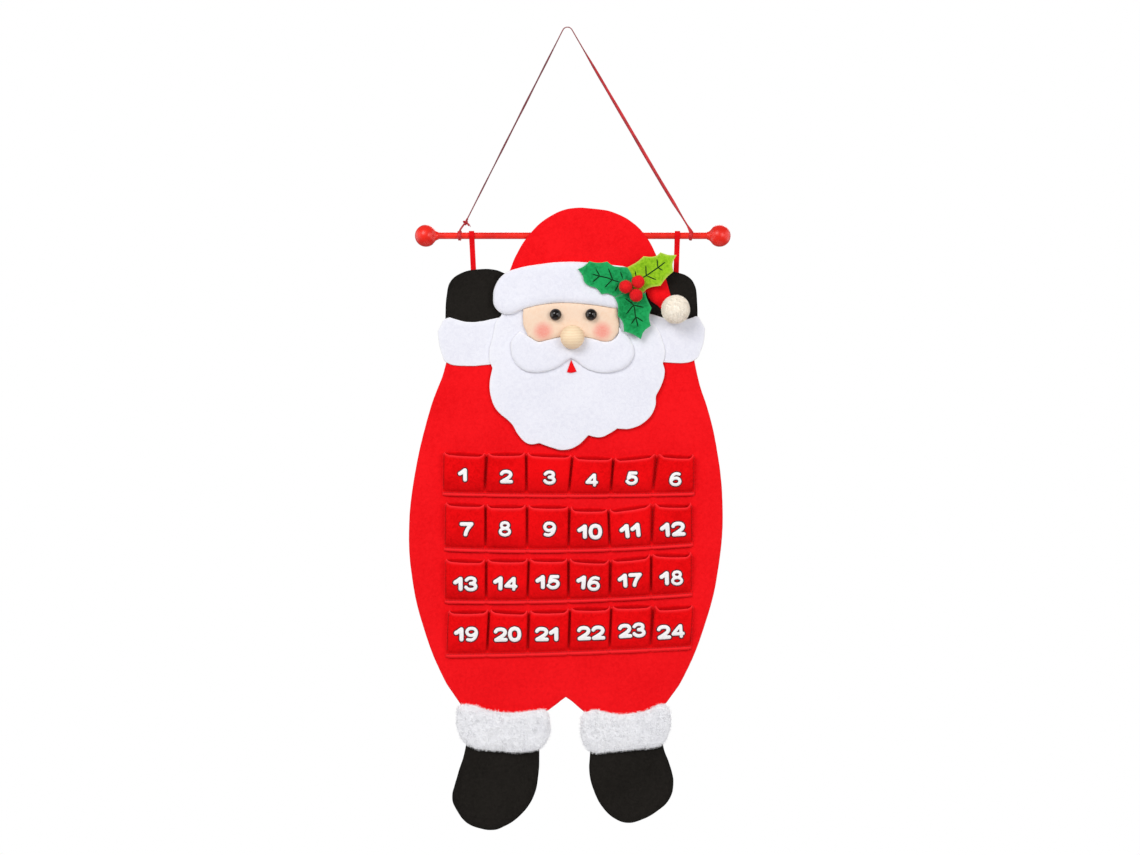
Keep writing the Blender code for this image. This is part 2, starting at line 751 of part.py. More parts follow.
def seated_ball(name, radius, seat_share, segments, rings, place):
    """A ball whose back is flat where it is sewn or glued, at seat_share of its radius."""
    mesh = bpy.data.meshes.new(name)
    ball = bmesh.new()
    bmesh.ops.create_uvsphere(ball, u_segments=segments, v_segments=rings, radius=radius)
    everything = ball.verts[:] + ball.edges[:] + ball.faces[:]
    seat = Vector((0.0, 0.0, -seat_share * radius))
    sliced = bmesh.ops.bisect_plane(
        ball, geom=everything, dist=GAP / 100, plane_co=seat, plane_no=(0, 0, -1), clear_outer=True)
    rim = [item for item in sliced["geom_cut"] if isinstance(item, bmesh.types.BMEdge)]
    bmesh.ops.contextual_create(ball, geom=rim)
    bmesh.ops.recalc_face_normals(ball, faces=ball.faces)
    ball.to_mesh(mesh)
    ball.free()
    mesh.shade_smooth()
    mesh.set_sharp_from_angle(angle=math.radians(40))
    piece = bpy.data.objects.new(name, mesh)
    piece.rotation_euler = UPRIGHT
    piece.location = place
    bpy.context.scene.collection.objects.link(piece)
    return piece


def turned(name, profile, steps):
    """A turned piece from its profile, which runs down its outer side from top to bottom."""
    mesh = bpy.data.meshes.new(name)
    rows = [(radius, 0.0, height) for radius, height in profile]
    mesh.from_pydata(rows, [(i, i + 1) for i in range(len(rows) - 1)], [])
    piece = bpy.data.objects.new(name, mesh)
    bpy.context.scene.collection.objects.link(piece)
    screw = piece.modifiers.new("turn", "SCREW")
    screw.axis = "Z"
    screw.steps = steps
    screw.render_steps = steps
    screw.use_merge_vertices = True
    screw.merge_threshold = GAP / 100
    screw.use_smooth_shade = True
    return piece


def tube(name, points, radius, end_radius=None):
    """A round tube along points, with filled caps, that may taper to its end."""
    curve = bpy.data.curves.new(name, "CURVE")
    curve.dimensions = "3D"
    curve.bevel_depth = radius
    curve.bevel_resolution = 2
    curve.use_fill_caps = True
    spline = curve.splines.new("POLY")
    spline.points.add(len(points) - 1)
    for knot, place in zip(spline.points, points):
        knot.co = (*place, 1.0)
    if end_radius is not None:
        spline.points[-1].radius = end_radius / radius
    piece = bpy.data.objects.new(name, curve)
    bpy.context.scene.collection.objects.link(piece)
    return piece


def smooth_points(route, spacing):
    """Points at an even spacing along a smooth curve through the route's own points."""
    ends = [2 * route[0] - route[1]] + route + [2 * route[-1] - route[-2]]
    fine = []
    for before, start, end, after in zip(ends, ends[1:], ends[2:], ends[3:]):
        for step in range(20):
            t = step / 20
            bend = (2 * before - 5 * start + 4 * end - after) * t * t
            turn = (3 * start - before - 3 * end + after) * t * t * t
            fine.append((2 * start + (end - before) * t + bend + turn) / 2)
    fine.append(route[-1])
    length = sum((b - a).length for a, b in zip(fine, fine[1:]))
    count = round(length / spacing)
    even = [fine[0]]
    walked = 0.0
    for a, b in zip(fine, fine[1:]):
        walked += (b - a).length
        if walked >= len(even) * length / count and len(even) < count:
            even.append(b)
    return even + [fine[-1]]


def make_rod(pivot):
    bpy.ops.mesh.primitive_cylinder_add(
        vertices=ROD_SIDES, radius=ROD_RADIUS, depth=BALL_SPACING - 2 * GAP,
        location=(ROD_MIDDLE_X, 0.0, -ROD_DROP), rotation=SIDEWAYS)
    rod = bpy.context.object
    rod.data.shade_smooth()
    rod.data.set_sharp_from_angle(angle=math.radians(40))
    finish(rod, "rod", ROD_RED, pivot)


def ball_profile():
    """Half section of an end ball: the ball, its neck, and the socket that takes the rod."""
    socket = ROD_RADIUS + GAP
    neck_root = -NECK_ROOT_SHARE * BALL_RADIUS
    neck_end = -NECK_END_SHARE * BALL_RADIUS
    profile = [(0.0, BALL_RADIUS)]
    for step in range(1, 10):
        angle = math.radians(90 - step * 15)
        profile.append((BALL_RADIUS * math.cos(angle), BALL_RADIUS * math.sin(angle)))
    profile.append((socket + NECK_ROOT_WALL_SHARE * NECK_WALL, neck_root))
    profile.append((socket + NECK_WALL, neck_end))
    profile.append((socket, neck_end))
    profile.append((socket, 0.0))
    profile.append((0.0, 0.0))
    return profile


def make_end_balls(pivot):
    for side, name in ((-1, "end_ball_left"), (1, "end_ball_right")):
        ball = turned(name, ball_profile(), BALL_STEPS)
        ball.rotation_euler = (0.0, side * math.pi / 2, 0.0)
        ball.location = (ROD_MIDDLE_X + side * BALL_SPACING / 2, 0.0, -ROD_DROP)
        finish(ball, name, ROD_RED, pivot)


def tie_ring(name, x):
    """One turn of the cord round the rod."""
    radius = CORD_DIAMETER / 2
    bpy.ops.mesh.primitive_torus_add(
        major_radius=ROD_RADIUS + GAP + radius, minor_radius=radius,
        major_segments=20, minor_segments=8, location=(x, 0.0, -ROD_DROP), rotation=SIDEWAYS)
    ring = bpy.context.object
    ring.name = name
    ring.data.shade_smooth()
    return ring


def make_cord_ties():
    """The ring round the rod at each end of the cord: a knotted one and a flared one."""
    radius = CORD_DIAMETER / 2
    ring_top = -ROD_DROP + ROD_RADIUS + GAP + radius
    cord = cord_points()

    left = tie_ring("cord_tie_left", TIE_LEFT_X)
    knot = Vector((KNOT_X, 0.0, -KNOT_DROP))
    collar_end = cord[0] - (cord[1] - cord[0]).normalized() * GAP
    tail_end = knot + Vector(TAIL_DIRECTION) * TAIL_LENGTH
    tail_radius = TAIL_THICKNESS_SHARE * radius
    bpy.ops.mesh.primitive_uv_sphere_add(
        segments=12, ring_count=8, radius=KNOT_RADIUS, location=knot, rotation=(0.3, 0.5, 0.0))
    joined = [
        as_mesh(tube("shank", [Vector((TIE_LEFT_X, 0.0, ring_top)), knot], radius)),
        bpy.context.object,
        as_mesh(tube("collar", [knot, collar_end], radius)),
        as_mesh(tube("tail", [knot, tail_end], tail_radius)),
    ]
    for piece in joined:
        boolean(left, as_cutter(piece), "UNION")
    finish(left, "cord_tie_left", CORD_RED)

    right = tie_ring("cord_tie_right", TIE_RIGHT_X)
    foot = Vector((TIE_RIGHT_X, 0.0, ring_top))
    flare_end = cord[-1] + (cord[-2] - cord[-1]).normalized() * -GAP
    flare = as_mesh(tube("flare", [foot, flare_end], FLARE_THICKNESS_SHARE * radius, radius))
    boolean(right, as_cutter(flare), "UNION")
    finish(right, "cord_tie_right", CORD_RED)


def cord_points():
    """The cord's centre line, from the knot over the hook to the right tie."""
    left_x = KNOT_X + CORD_LEFT_END_FROM_KNOT[0]
    left_drop = KNOT_DROP - CORD_LEFT_END_FROM_KNOT[1]
    right_x = TIE_RIGHT_X + CORD_RIGHT_END_FROM_TIE[0]
    right_drop = ROD_DROP - CORD_RIGHT_END_FROM_TIE[1]
    route = [Vector((x * left_x, 0.0, -z * left_drop)) for x, z in CORD_LEFT_SHARES]
    route += [Vector((x * right_x, 0.0, -z * right_drop)) for x, z in CORD_RIGHT_SHARES]
    return smooth_points(route, CORD_SPACING)


def make_cord():
    cord = tube("hanger_cord", cord_points(), CORD_DIAMETER / 2)
    finish(cord, "hanger_cord", CORD_RED)


def strap_outline(curve, middle, points):
    spline = curve.splines.new("POLY")
    spline.points.add(len(points) - 1)
    for knot, (depth, height) in zip(spline.points, points):
        knot.co = (middle + depth, height, 0.0, 1.0)
    spline.use_cyclic_u = True


def strap_arc(radius, middle):
    """Points over the rod, from the back to the front, relative to the strap's middle plane."""
    arc = []
    for step in range(STRAP_ARC_STEPS + 1):
        angle = math.radians(-25 + 230 * step / STRAP_ARC_STEPS)
        arc.append((radius * math.cos(angle) - middle, radius * math.sin(angle)))
    return arc


def make_strap(name, x, length, lean_share, pivot):
    """A strip of felt over the rod, its two ends sewn together behind a mitten."""
    inner = ROD_RADIUS + GAP
    outer = inner + STRAP_FELT
    middle = PANEL_BACK + GAP + STRAP_FELT
    curve = bpy.data.curves.new(name, "CURVE")
    curve.dimensions = "2D"
    curve.fill_mode = "BOTH"
    curve.extrude = STRAP_WIDTH / 2
    foot = [(-STRAP_FELT, -STRAP_JOIN), (-STRAP_FELT, -length)]
    foot += [(STRAP_FELT, -length), (STRAP_FELT, -STRAP_JOIN)]
    strap_outline(curve, middle, strap_arc(outer, middle) + foot)
    strap_outline(curve, middle, strap_arc(inner, middle) + [(0.0, -STRAP_JOIN)])
    flat = bpy.data.objects.new(name, curve)
    bpy.context.scene.collection.objects.link(flat)
    strap = as_mesh(flat)
    for corner in strap.data.vertices:
        corner.co.z -= lean_share * corner.co.y
    strap.rotation_euler = (math.pi / 2, 0.0, math.pi / 2)
    strap.location = (x, 0.0, -ROD_DROP)
    finish(strap, name, RED_FELT, pivot)


def make_straps(pivot):
    left_width = HEAD_LEFT_X - GAP - MITTEN_LEFT_X
    left_x = MITTEN_LEFT_X + STRAP_LEFT_ACROSS_SHARE * left_width
    left_length = MITTEN_LEFT_TOP_DROP + STRAP_HOLD
    make_strap("strap_left", left_x, left_length, STRAP_LEFT_LEAN_SHARE, pivot)
    right_width = MITTEN_RIGHT_X - HEAD_RIGHT_X - GAP
    right_x = HEAD_RIGHT_X + GAP + STRAP_RIGHT_ACROSS_SHARE * right_width
    right_length = MITTEN_RIGHT_TOP_DROP + STRAP_HOLD
    make_strap("strap_right", right_x, right_length, STRAP_RIGHT_LEAN_SHARE, pivot)


def panel_points():
    """The panel's outline in metres from its top left: head, right side, fork and left side."""
    head_height = ARM_SEAM_DROP - HEAD_TOP_DROP
    head_left = HEAD_LEFT_X - BODY_LEFT_X
    head = [
        (head_left, head_height, CORNER),
        (head_left, HEAD_CORNER_CUT, CORNER),
        (head_left + HEAD_CORNER_CUT, 0.0, CORNER),
        (HEAD_RIGHT_X - BODY_LEFT_X, 0.0, CORNER),
        (HEAD_RIGHT_X - BODY_LEFT_X, head_height, CORNER),
    ]
    shares = BODY_RIGHT_SIDE_SHARES + BODY_FORK_SHARES + BODY_LEFT_SIDE_SHARES
    body_height = BODY_HEIGHT - GAP / 2
    body = [(a * BODY_WIDTH, head_height + d * body_height, kind) for a, d, kind in shares]
    return head + body


def make_panel(pivot):
    panel = cut_cloth(
        "body_panel", panel_points(), BODY_LEFT_X, HEAD_TOP_DROP, 1.0, 1.0, PANEL_BACK, FELT)
    finish(panel, "body_panel", RED_FELT, pivot)


def make_mittens(pivot):
    seam = ARM_SEAM_DROP - GAP
    left = cut_cloth(
        "mitten_left", MITTEN_LEFT_SHARES, MITTEN_LEFT_X, MITTEN_LEFT_TOP_DROP,
        HEAD_LEFT_X - GAP - MITTEN_LEFT_X, seam - MITTEN_LEFT_TOP_DROP, PANEL_BACK, FELT)
    finish(left, "mitten_left", BLACK_FELT, pivot)
    right = cut_cloth(
        "mitten_right", MITTEN_RIGHT_SHARES, HEAD_RIGHT_X + GAP, MITTEN_RIGHT_TOP_DROP,
        MITTEN_RIGHT_X - HEAD_RIGHT_X - GAP, seam - MITTEN_RIGHT_TOP_DROP, PANEL_BACK, FELT)
    finish(right, "mitten_right", BLACK_FELT, pivot)


def make_sleeve_cuffs(pivot):
    """The right cuff is trimmed where the hat's tip would reach it."""
    left = cut_cloth(
        "sleeve_cuff_left", SLEEVE_CUFF_LEFT_SHARES,
        BODY_LEFT_X + SLEEVE_CUFF_LEFT_ACROSS_SHARE * BODY_WIDTH,
        ARM_SEAM_DROP - SLEEVE_CUFF_LEFT_OVER_SEAM,
        SLEEVE_CUFF_LEFT_WIDTH, SLEEVE_CUFF_HEIGHT, SEWN_ON, FELT)
    finish(left, "sleeve_cuff_left", WHITE_FELT, pivot)
    right = as_mesh(cut_cloth(
        "sleeve_cuff_right", SLEEVE_CUFF_RIGHT_SHARES,
        BODY_LEFT_X + SLEEVE_CUFF_RIGHT_ACROSS_SHARE * BODY_WIDTH,
        ARM_SEAM_DROP - SLEEVE_CUFF_RIGHT_OVER_SEAM,
        SLEEVE_CUFF_RIGHT_WIDTH, SLEEVE_CUFF_HEIGHT, SEWN_ON, FELT))
    hat_cut = outline_cutter(
        "hat_cut", HAT_SHARES, HAT_LEFT_X, HAT_TOP_DROP, HAT_WIDTH, HAT_HEIGHT, SEWN_ON)
    boolean(right, hat_cut, "DIFFERENCE")
    finish(right, "sleeve_cuff_right", WHITE_FELT, pivot)


def make_hat(pivot):
    hat = cut_cloth(
        "hat", HAT_SHARES, HAT_LEFT_X, HAT_TOP_DROP, HAT_WIDTH, HAT_HEIGHT, SEWN_ON, FELT)
    finish(hat, "hat", RED_FELT, pivot)


def make_brim(pivot):
    brim = cut_cloth(
        "hat_brim", BRIM_SHARES, BRIM_LEFT_X, BRIM_TOP_DROP, BRIM_WIDTH, BRIM_HEIGHT,
        HEAD_FRONT, BRIM_PLUSH, BRIM_PLUSH / 4)
    finish(brim, "hat_brim", WHITE_FELT, pivot)


def make_beard(pivot):
    beard = cut_cloth(
        "beard", BEARD_SHARES, BEARD_LEFT_X, BEARD_TOP_DROP, BEARD_WIDTH, BEARD_HEIGHT,
        BEARD_BACK, FELT)
    finish(beard, "beard", WHITE_FELT, pivot)


def make_face(pivot):
    """The padded face, trimmed where the brim and the moustache meet it."""
    face = as_mesh(cut_cloth(
        "face", FACE_SHARES, FACE_LEFT_X, FACE_TOP_DROP, FACE_WIDTH, FACE_HEIGHT,
        HEAD_FRONT, FACE_PAD, FACE_PAD / 3))
    brim_cut = outline_cutter(
        "brim_cut", BRIM_SHARES, BRIM_LEFT_X, BRIM_TOP_DROP, BRIM_WIDTH, BRIM_HEIGHT, HEAD_FRONT)
    moustache_cut = outline_cutter(
        "moustache_cut", MOUSTACHE_SHARES, MOUSTACHE_LEFT_X, MOUSTACHE_TOP_DROP,
        MOUSTACHE_WIDTH, MOUSTACHE_HEIGHT, HEAD_FRONT)
    boolean(face, brim_cut, "DIFFERENCE")
    boolean(face, moustache_cut, "DIFFERENCE")
    finish(face, "face", SKIN_FELT, pivot)


def make_eyes_and_nose(pivot):
    front = HEAD_FRONT - FACE_PAD - GAP
    nose_seat = HEAD_FRONT - max(FACE_PAD, MOUSTACHE_PAD) - GAP
    eye_drop = ROD_DROP + FACE_TOP_DROP + EYE_DOWN_SHARE * FACE_HEIGHT
    for name, share in (("eye_left", EYE_LEFT_ACROSS_SHARE), ("eye_right", EYE_RIGHT_ACROSS_SHARE)):
        place = (FACE_LEFT_X + share * FACE_WIDTH, front - EYE_SEAT_SHARE * EYE_RADIUS, -eye_drop)
        finish(seated_ball(name, EYE_RADIUS, EYE_SEAT_SHARE, 16, 10, place), name, BEAD_BLACK, pivot)
    place = (
        FACE_LEFT_X + NOSE_ACROSS_SHARE * FACE_WIDTH,
        nose_seat - NOSE_SEAT_SHARE * NOSE_RADIUS,
        -(ROD_DROP + FACE_TOP_DROP + NOSE_DOWN_SHARE * FACE_HEIGHT))
    nose = seated_ball("nose", NOSE_RADIUS, NOSE_SEAT_SHARE, 20, 12, place)
    finish(nose, "nose", NOSE_FELT, pivot)


def make_moustache(pivot):
    moustache = cut_cloth(
        "moustache", MOUSTACHE_SHARES, MOUSTACHE_LEFT_X, MOUSTACHE_TOP_DROP,
        MOUSTACHE_WIDTH, MOUSTACHE_HEIGHT, HEAD_FRONT, MOUSTACHE_PAD, MOUSTACHE_PAD / 4, 0)
    finish(moustache, "moustache", WHITE_FELT, pivot)
    mouth = cut_cloth(
        "mouth", MOUTH_SHARES, MOUSTACHE_LEFT_X, MOUSTACHE_TOP_DROP,
        MOUSTACHE_WIDTH, MOUSTACHE_HEIGHT, HEAD_FRONT, LEAF_FELT)
    finish(mouth, "mouth", RED_FELT, pivot)


def leaf_place(hold_share, width, height):
    """Left edge and drop of a leaf that is held at the middle of the sprig."""
    return SPRIG_X - hold_share[0] * width, SPRIG_DROP - hold_share[1] * height


def make_holly(pivot):
    """The lime leaf lies on the brim, and the two dark leaves lie on it side by side."""
    first = HEAD_FRONT - BRIM_PLUSH - GAP
    second = first - LEAF_FELT - GAP
    x, drop = leaf_place(LEAF_RIGHT_HOLD_SHARE, LEAF_RIGHT_WIDTH, LEAF_RIGHT_HEIGHT)
    right = cut_cloth(
        "holly_leaf_right", LEAF_RIGHT_SHARES, x, drop,
        LEAF_RIGHT_WIDTH, LEAF_RIGHT_HEIGHT, first, LEAF_FELT)
    finish(right, "holly_leaf_right", LEAF_LIME, pivot)
    x, drop = leaf_place(LEAF_LEFT_HOLD_SHARE, LEAF_LEFT_WIDTH, LEAF_LEFT_HEIGHT)
    left = cut_cloth(
        "holly_leaf_left", LEAF_LEFT_SHARES, x, drop,
        LEAF_LEFT_WIDTH, LEAF_LEFT_HEIGHT, second, LEAF_FELT)
    finish(left, "holly_leaf_left", LEAF_DARK, pivot)
    leaf_cut = outline_cutter(
        "leaf_cut", LEAF_LEFT_SHARES, x, drop, LEAF_LEFT_WIDTH, LEAF_LEFT_HEIGHT, second)
    x, drop = leaf_place(LEAF_LOWER_HOLD_SHARE, LEAF_LOWER_WIDTH, LEAF_LOWER_HEIGHT)
    lower = as_mesh(cut_cloth(
        "holly_leaf_lower", LEAF_LOWER_SHARES, x, drop,
        LEAF_LOWER_WIDTH, LEAF_LOWER_HEIGHT, second, LEAF_FELT))
    boolean(lower, leaf_cut, "DIFFERENCE")
    finish(lower, "holly_leaf_lower", LEAF_DARK, pivot)
    make_berries(second - LEAF_FELT - GAP, pivot)


def make_berries(seat, pivot):
    """Berries round the middle of the sprig, side by side with the gap between them."""
    reach = (BERRY_RADIUS + GAP / 2) / math.sin(math.pi / BERRY_COUNT)
    for number in range(BERRY_COUNT):
        name = f"berry_{number + 1}"
        angle = math.radians(BERRY_TURN_DEGREES + number * 360 / BERRY_COUNT)
        place = (
            SPRIG_X + reach * math.cos(angle),
            seat - BERRY_SEAT_SHARE * BERRY_RADIUS,
            -ROD_DROP - SPRIG_DROP + reach * math.sin(angle))
        berry = seated_ball(name, BERRY_RADIUS, BERRY_SEAT_SHARE, 14, 9, place)
        finish(berry, name, BERRY_RED, pivot)


def pocket_seam_drop(row, along):
    """How far below the rod's axis a row's seam lies, at a share of the row's length."""
    level = FIRST_SEAM_DROP + (row + ROW_SHIFT_SHARES[row]) * ROW_SPACING
    rise = ROW_RISE_SHARES[row] * ROW_SPACING * along
    sag = ROW_SAG_SHARES[row] * ROW_SPACING * 4 * along * (1 - along)
    return level - rise + sag


def mouth_share(row, pocket, across, stand_share):
    """Height of the strip's top edge: low along a pocket's front, and high in the seams beside it."""
    mouths = POCKET_MOUTH_SHARES[row]
    left, right = mouths[pocket]
    front = left + (right - left) * across - MOUTH_BOW_SHARE * math.sin(math.pi * across)
    if across < 0.5:
        beside = (mouths[max(pocket - 1, 0)][1] + left) / 2
    else:
        beside = (mouths[min(pocket + 1, POCKETS_IN_ROW - 1)][0] + right) / 2
    ear = beside + EAR_SHARE
    return ear + (front - ear) * min(stand_share, 1.0)


def pleat_place(row, column, level):
    """A point of a row's outer surface, from its place across and down the row."""
    pocket, fold = divmod(column, len(PLEAT_SHARES))
    across, stand_share, lean_share = PLEAT_SHARES[fold]
    if pocket == POCKETS_IN_ROW:
        pocket = POCKETS_IN_ROW - 1
        across = 1.0
    down, depth_share = POCKET_DOWN_SHARES[level]
    leans = SEAM_LEAN_SHARES[row]
    lean = leans[pocket] + (leans[pocket + 1] - leans[pocket]) * across
    lean = lean * (1 - down) + lean_share * depth_share
    along = (pocket + across + lean) / POCKETS_IN_ROW
    length = POCKETS_IN_ROW * POCKET_PITCH * ROW_PITCH_SHARES[row]
    x = ROWS_MIDDLE_X - length / 2 + along * length
    y = SEWN_ON - POCKET_FELT - POCKET_DEPTH * stand_share * depth_share
    top = mouth_share(row, pocket, across, stand_share) if down < 1 else 1.0
    z = (1 - down) * top * POCKET_HEIGHT - ROD_DROP
    z -= pocket_seam_drop(row, min(max(along, 0.0), 1.0))
    return Vector((x, y, z))


def make_pocket_row(row, pivot):
    """One strip of felt, pleated into pockets that are open at the top and sewn at the seam."""
    name = f"pocket_row_{row + 1}"
    columns = POCKETS_IN_ROW * len(PLEAT_SHARES)
    levels = len(POCKET_DOWN_SHARES) - 1
    bpy.ops.mesh.primitive_grid_add(x_subdivisions=columns, y_subdivisions=levels, size=1.0)
    strip = bpy.context.object
    for corner in strip.data.vertices:
        column = round((corner.co.x + 0.5) * columns)
        level = round((0.5 - corner.co.y) * levels)
        corner.co = pleat_place(row, column, level)
    solidify = strip.modifiers.new("felt", "SOLIDIFY")
    solidify.thickness = POCKET_FELT
    solidify.offset = -1.0
    solidify.use_even_offset = False
    strip.data.shade_smooth()
    strip.data.set_sharp_from_angle(angle=math.radians(40))
    finish(strip, name, POCKET_RED, pivot)


def make_leg(name, tab_shares, cuff, boot, pivot):
    """A leg below the fold line: the red tab, the plush cuff on it and the boot."""
    tab = cut_cloth(
        f"leg_{name}", tab_shares, BODY_LEFT_X, FOLD_DROP + GAP / 2, BODY_WIDTH,
        LEG_TAB_HEIGHT - GAP, PANEL_BACK, FELT)
    finish(tab, f"leg_{name}", RED_FELT, pivot)
    shares, across_share, width = cuff
    piece = cut_cloth(
        f"leg_cuff_{name}", shares, BODY_LEFT_X + across_share * BODY_WIDTH,
        FOLD_DROP + LEG_CUFF_DROP, width, LEG_CUFF_HEIGHT, SEWN_ON, PLUSH, PLUSH / 3)
    finish(piece, f"leg_cuff_{name}", WHITE_PLUSH, pivot)
    shares, across_share, width, height = boot
    piece = cut_cloth(
        f"boot_{name}", shares, BODY_LEFT_X + across_share * BODY_WIDTH,
        FOLD_DROP + LEG_TAB_HEIGHT, width, height, PANEL_BACK, FELT)
    finish(piece, f"boot_{name}", BLACK_FELT, pivot)


def make_legs():
    """Each leg folds forward along the line where the panel ends, at the panel's front."""
    fold = (0.0, PANEL_FRONT, -ROD_DROP - FOLD_DROP)
    make_leg(
        "left", LEG_LEFT_TAB_SHARES,
        (LEG_CUFF_LEFT_SHARES, LEG_CUFF_LEFT_ACROSS_SHARE, LEG_CUFF_LEFT_WIDTH),
        (BOOT_LEFT_SHARES, BOOT_LEFT_ACROSS_SHARE, BOOT_LEFT_WIDTH, BOOT_LEFT_HEIGHT),
        new_pivot("leg_left_pivot", fold))
    make_leg(
        "right", LEG_RIGHT_TAB_SHARES,
        (LEG_CUFF_RIGHT_SHARES, LEG_CUFF_RIGHT_ACROSS_SHARE, LEG_CUFF_RIGHT_WIDTH),
        (BOOT_RIGHT_SHARES, BOOT_RIGHT_ACROSS_SHARE, BOOT_RIGHT_WIDTH, BOOT_RIGHT_HEIGHT),
        new_pivot("leg_right_pivot", fold))


def make_pompom():
    """The pompom, which swings on its stitch at the hat's tip."""
    x = HAT_LEFT_X + POMPOM_ACROSS_SHARE * HAT_WIDTH
    drop = ROD_DROP + HAT_TOP_DROP + POMPOM_DOWN_SHARE * HAT_HEIGHT
    seat = SEWN_ON - FELT - GAP
    stitch = new_pivot("pompom_pivot", (x, seat, -drop + STITCH_UP_SHARE * POMPOM_RADIUS))
    place = (x, seat - POMPOM_SEAT_SHARE * POMPOM_RADIUS, -drop)
    pompom = seated_ball("pompom", POMPOM_RADIUS, POMPOM_SEAT_SHARE, 20, 12, place)
    finish(pompom, "pompom", CREAM_POM, stitch)


def build():
    rod_axis = (0.0, 0.0, -ROD_DROP)
    rod_pivot = new_pivot("rod_pivot", rod_axis)
    figure_pivot = new_pivot("figure_pivot", rod_axis)
    make_cord()
    make_cord_ties()
    make_rod(rod_pivot)
    make_end_balls(rod_pivot)
    make_straps(figure_pivot)
    make_panel(figure_pivot)
    make_mittens(figure_pivot)
    make_sleeve_cuffs(figure_pivot)
    make_hat(figure_pivot)
    make_beard(figure_pivot)
    make_brim(figure_pivot)
    make_face(figure_pivot)
    make_eyes_and_nose(figure_pivot)
    make_moustache(figure_pivot)
    make_holly(figure_pivot)
    make_pompom()
    for row in range(ROW_COUNT):
        make_pocket_row(row, figure_pivot)
    make_legs()


build()
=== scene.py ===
# %% [markdown]
# A felt advent calendar, dressed for its portrait.
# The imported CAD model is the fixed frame. Every piece below is cut, stuffed or sewn where that frame says,
# and then rides on one of its moving bodies. All lengths are in metres, X runs to the viewer's right,
# Z runs up, and the front of the figure faces -Y.

# %% Load the fixed frame
import json
import math

import bmesh
import bpy
import numpy as np
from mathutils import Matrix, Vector, noise
from mathutils.bvhtree import BVHTree
from mathutils.geometry import delaunay_2d_cdt

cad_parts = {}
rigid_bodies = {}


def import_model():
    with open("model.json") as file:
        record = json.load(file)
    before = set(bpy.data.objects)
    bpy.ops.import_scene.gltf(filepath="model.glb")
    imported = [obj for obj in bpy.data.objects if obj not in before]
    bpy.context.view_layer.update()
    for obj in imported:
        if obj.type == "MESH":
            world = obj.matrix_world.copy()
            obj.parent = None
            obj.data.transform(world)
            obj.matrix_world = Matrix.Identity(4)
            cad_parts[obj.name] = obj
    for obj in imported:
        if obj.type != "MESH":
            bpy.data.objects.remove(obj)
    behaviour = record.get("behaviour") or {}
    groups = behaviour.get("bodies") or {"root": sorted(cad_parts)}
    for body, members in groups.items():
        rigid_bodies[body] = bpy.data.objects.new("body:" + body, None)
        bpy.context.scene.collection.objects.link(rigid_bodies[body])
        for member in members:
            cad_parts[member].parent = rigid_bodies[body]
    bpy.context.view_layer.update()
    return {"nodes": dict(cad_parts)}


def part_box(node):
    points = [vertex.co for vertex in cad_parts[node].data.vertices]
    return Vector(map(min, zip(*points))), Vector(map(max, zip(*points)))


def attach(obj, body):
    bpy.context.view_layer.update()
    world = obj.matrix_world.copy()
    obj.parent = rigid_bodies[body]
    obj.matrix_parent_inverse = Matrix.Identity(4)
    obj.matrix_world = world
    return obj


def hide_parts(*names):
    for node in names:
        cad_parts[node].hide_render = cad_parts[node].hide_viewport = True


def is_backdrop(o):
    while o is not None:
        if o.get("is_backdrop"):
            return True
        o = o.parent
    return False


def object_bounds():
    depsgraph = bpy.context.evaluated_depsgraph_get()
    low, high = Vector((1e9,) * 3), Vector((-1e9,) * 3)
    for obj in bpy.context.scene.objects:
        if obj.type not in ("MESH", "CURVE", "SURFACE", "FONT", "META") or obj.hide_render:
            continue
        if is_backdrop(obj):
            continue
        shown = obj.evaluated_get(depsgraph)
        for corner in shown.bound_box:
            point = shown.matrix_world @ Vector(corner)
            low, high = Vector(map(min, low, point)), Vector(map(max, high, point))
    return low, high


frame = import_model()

MM = 0.001

# %% [markdown]
# The camera comes first, because the cord is measured against what it sees.
# The photograph looks straight at the figure from some way off, so a long lens at 3.6 m keeps the lines
# parallel. The lens follows from the width of the picture at the figure, 1.368 m.

# %% Camera at the photograph's angle
VIEW_WIDTH = 1.368
VIEW_DISTANCE = 3.6
VIEW_MIDDLE = (0.0030, -0.4806)

lens = bpy.data.cameras.new("portrait_lens")
lens.sensor_width = 36.0
lens.lens = lens.sensor_width * VIEW_DISTANCE / VIEW_WIDTH
lens.clip_end = 60.0
camera = bpy.data.objects.new("portrait_camera", lens)
camera.location = (VIEW_MIDDLE[0], -VIEW_DISTANCE, VIEW_MIDDLE[1])
camera.rotation_euler = (math.pi / 2, 0.0, 0.0)
bpy.context.scene.collection.objects.link(camera)
bpy.context.scene.camera = camera
bpy.context.scene.view_settings.view_transform = "Standard"
print("camera: lens", round(lens.lens, 1), "mm")

# %% [markdown]
# Materials are node graphs. A few short helpers keep each recipe readable: one adds a node and feeds
# its inputs, one makes noise in the piece's own coordinates, and others stretch, weigh and blend.

# %% Helpers for building materials
def new_material(name, **settings):
    """A material, its tree and its shader. Settings are plain values, such as Sheen_Weight=0.1."""
    material = bpy.data.materials.new(name)
    material.use_nodes = True
    tree = material.node_tree
    shader = tree.nodes["Principled BSDF"]
    for words, value in settings.items():
        shader.inputs[words.replace("_", " ")].default_value = value
    return material, tree, shader


def feed(tree, sockets, values):
    """Each socket gets a number or a colour, or a link from the output that makes its value."""
    for socket, value in zip(sockets, values):
        if isinstance(value, bpy.types.NodeSocket):
            tree.links.new(value, socket)
        elif socket.type == "RGBA":
            socket.default_value = (*value, 1.0)
        else:
            socket.default_value = value


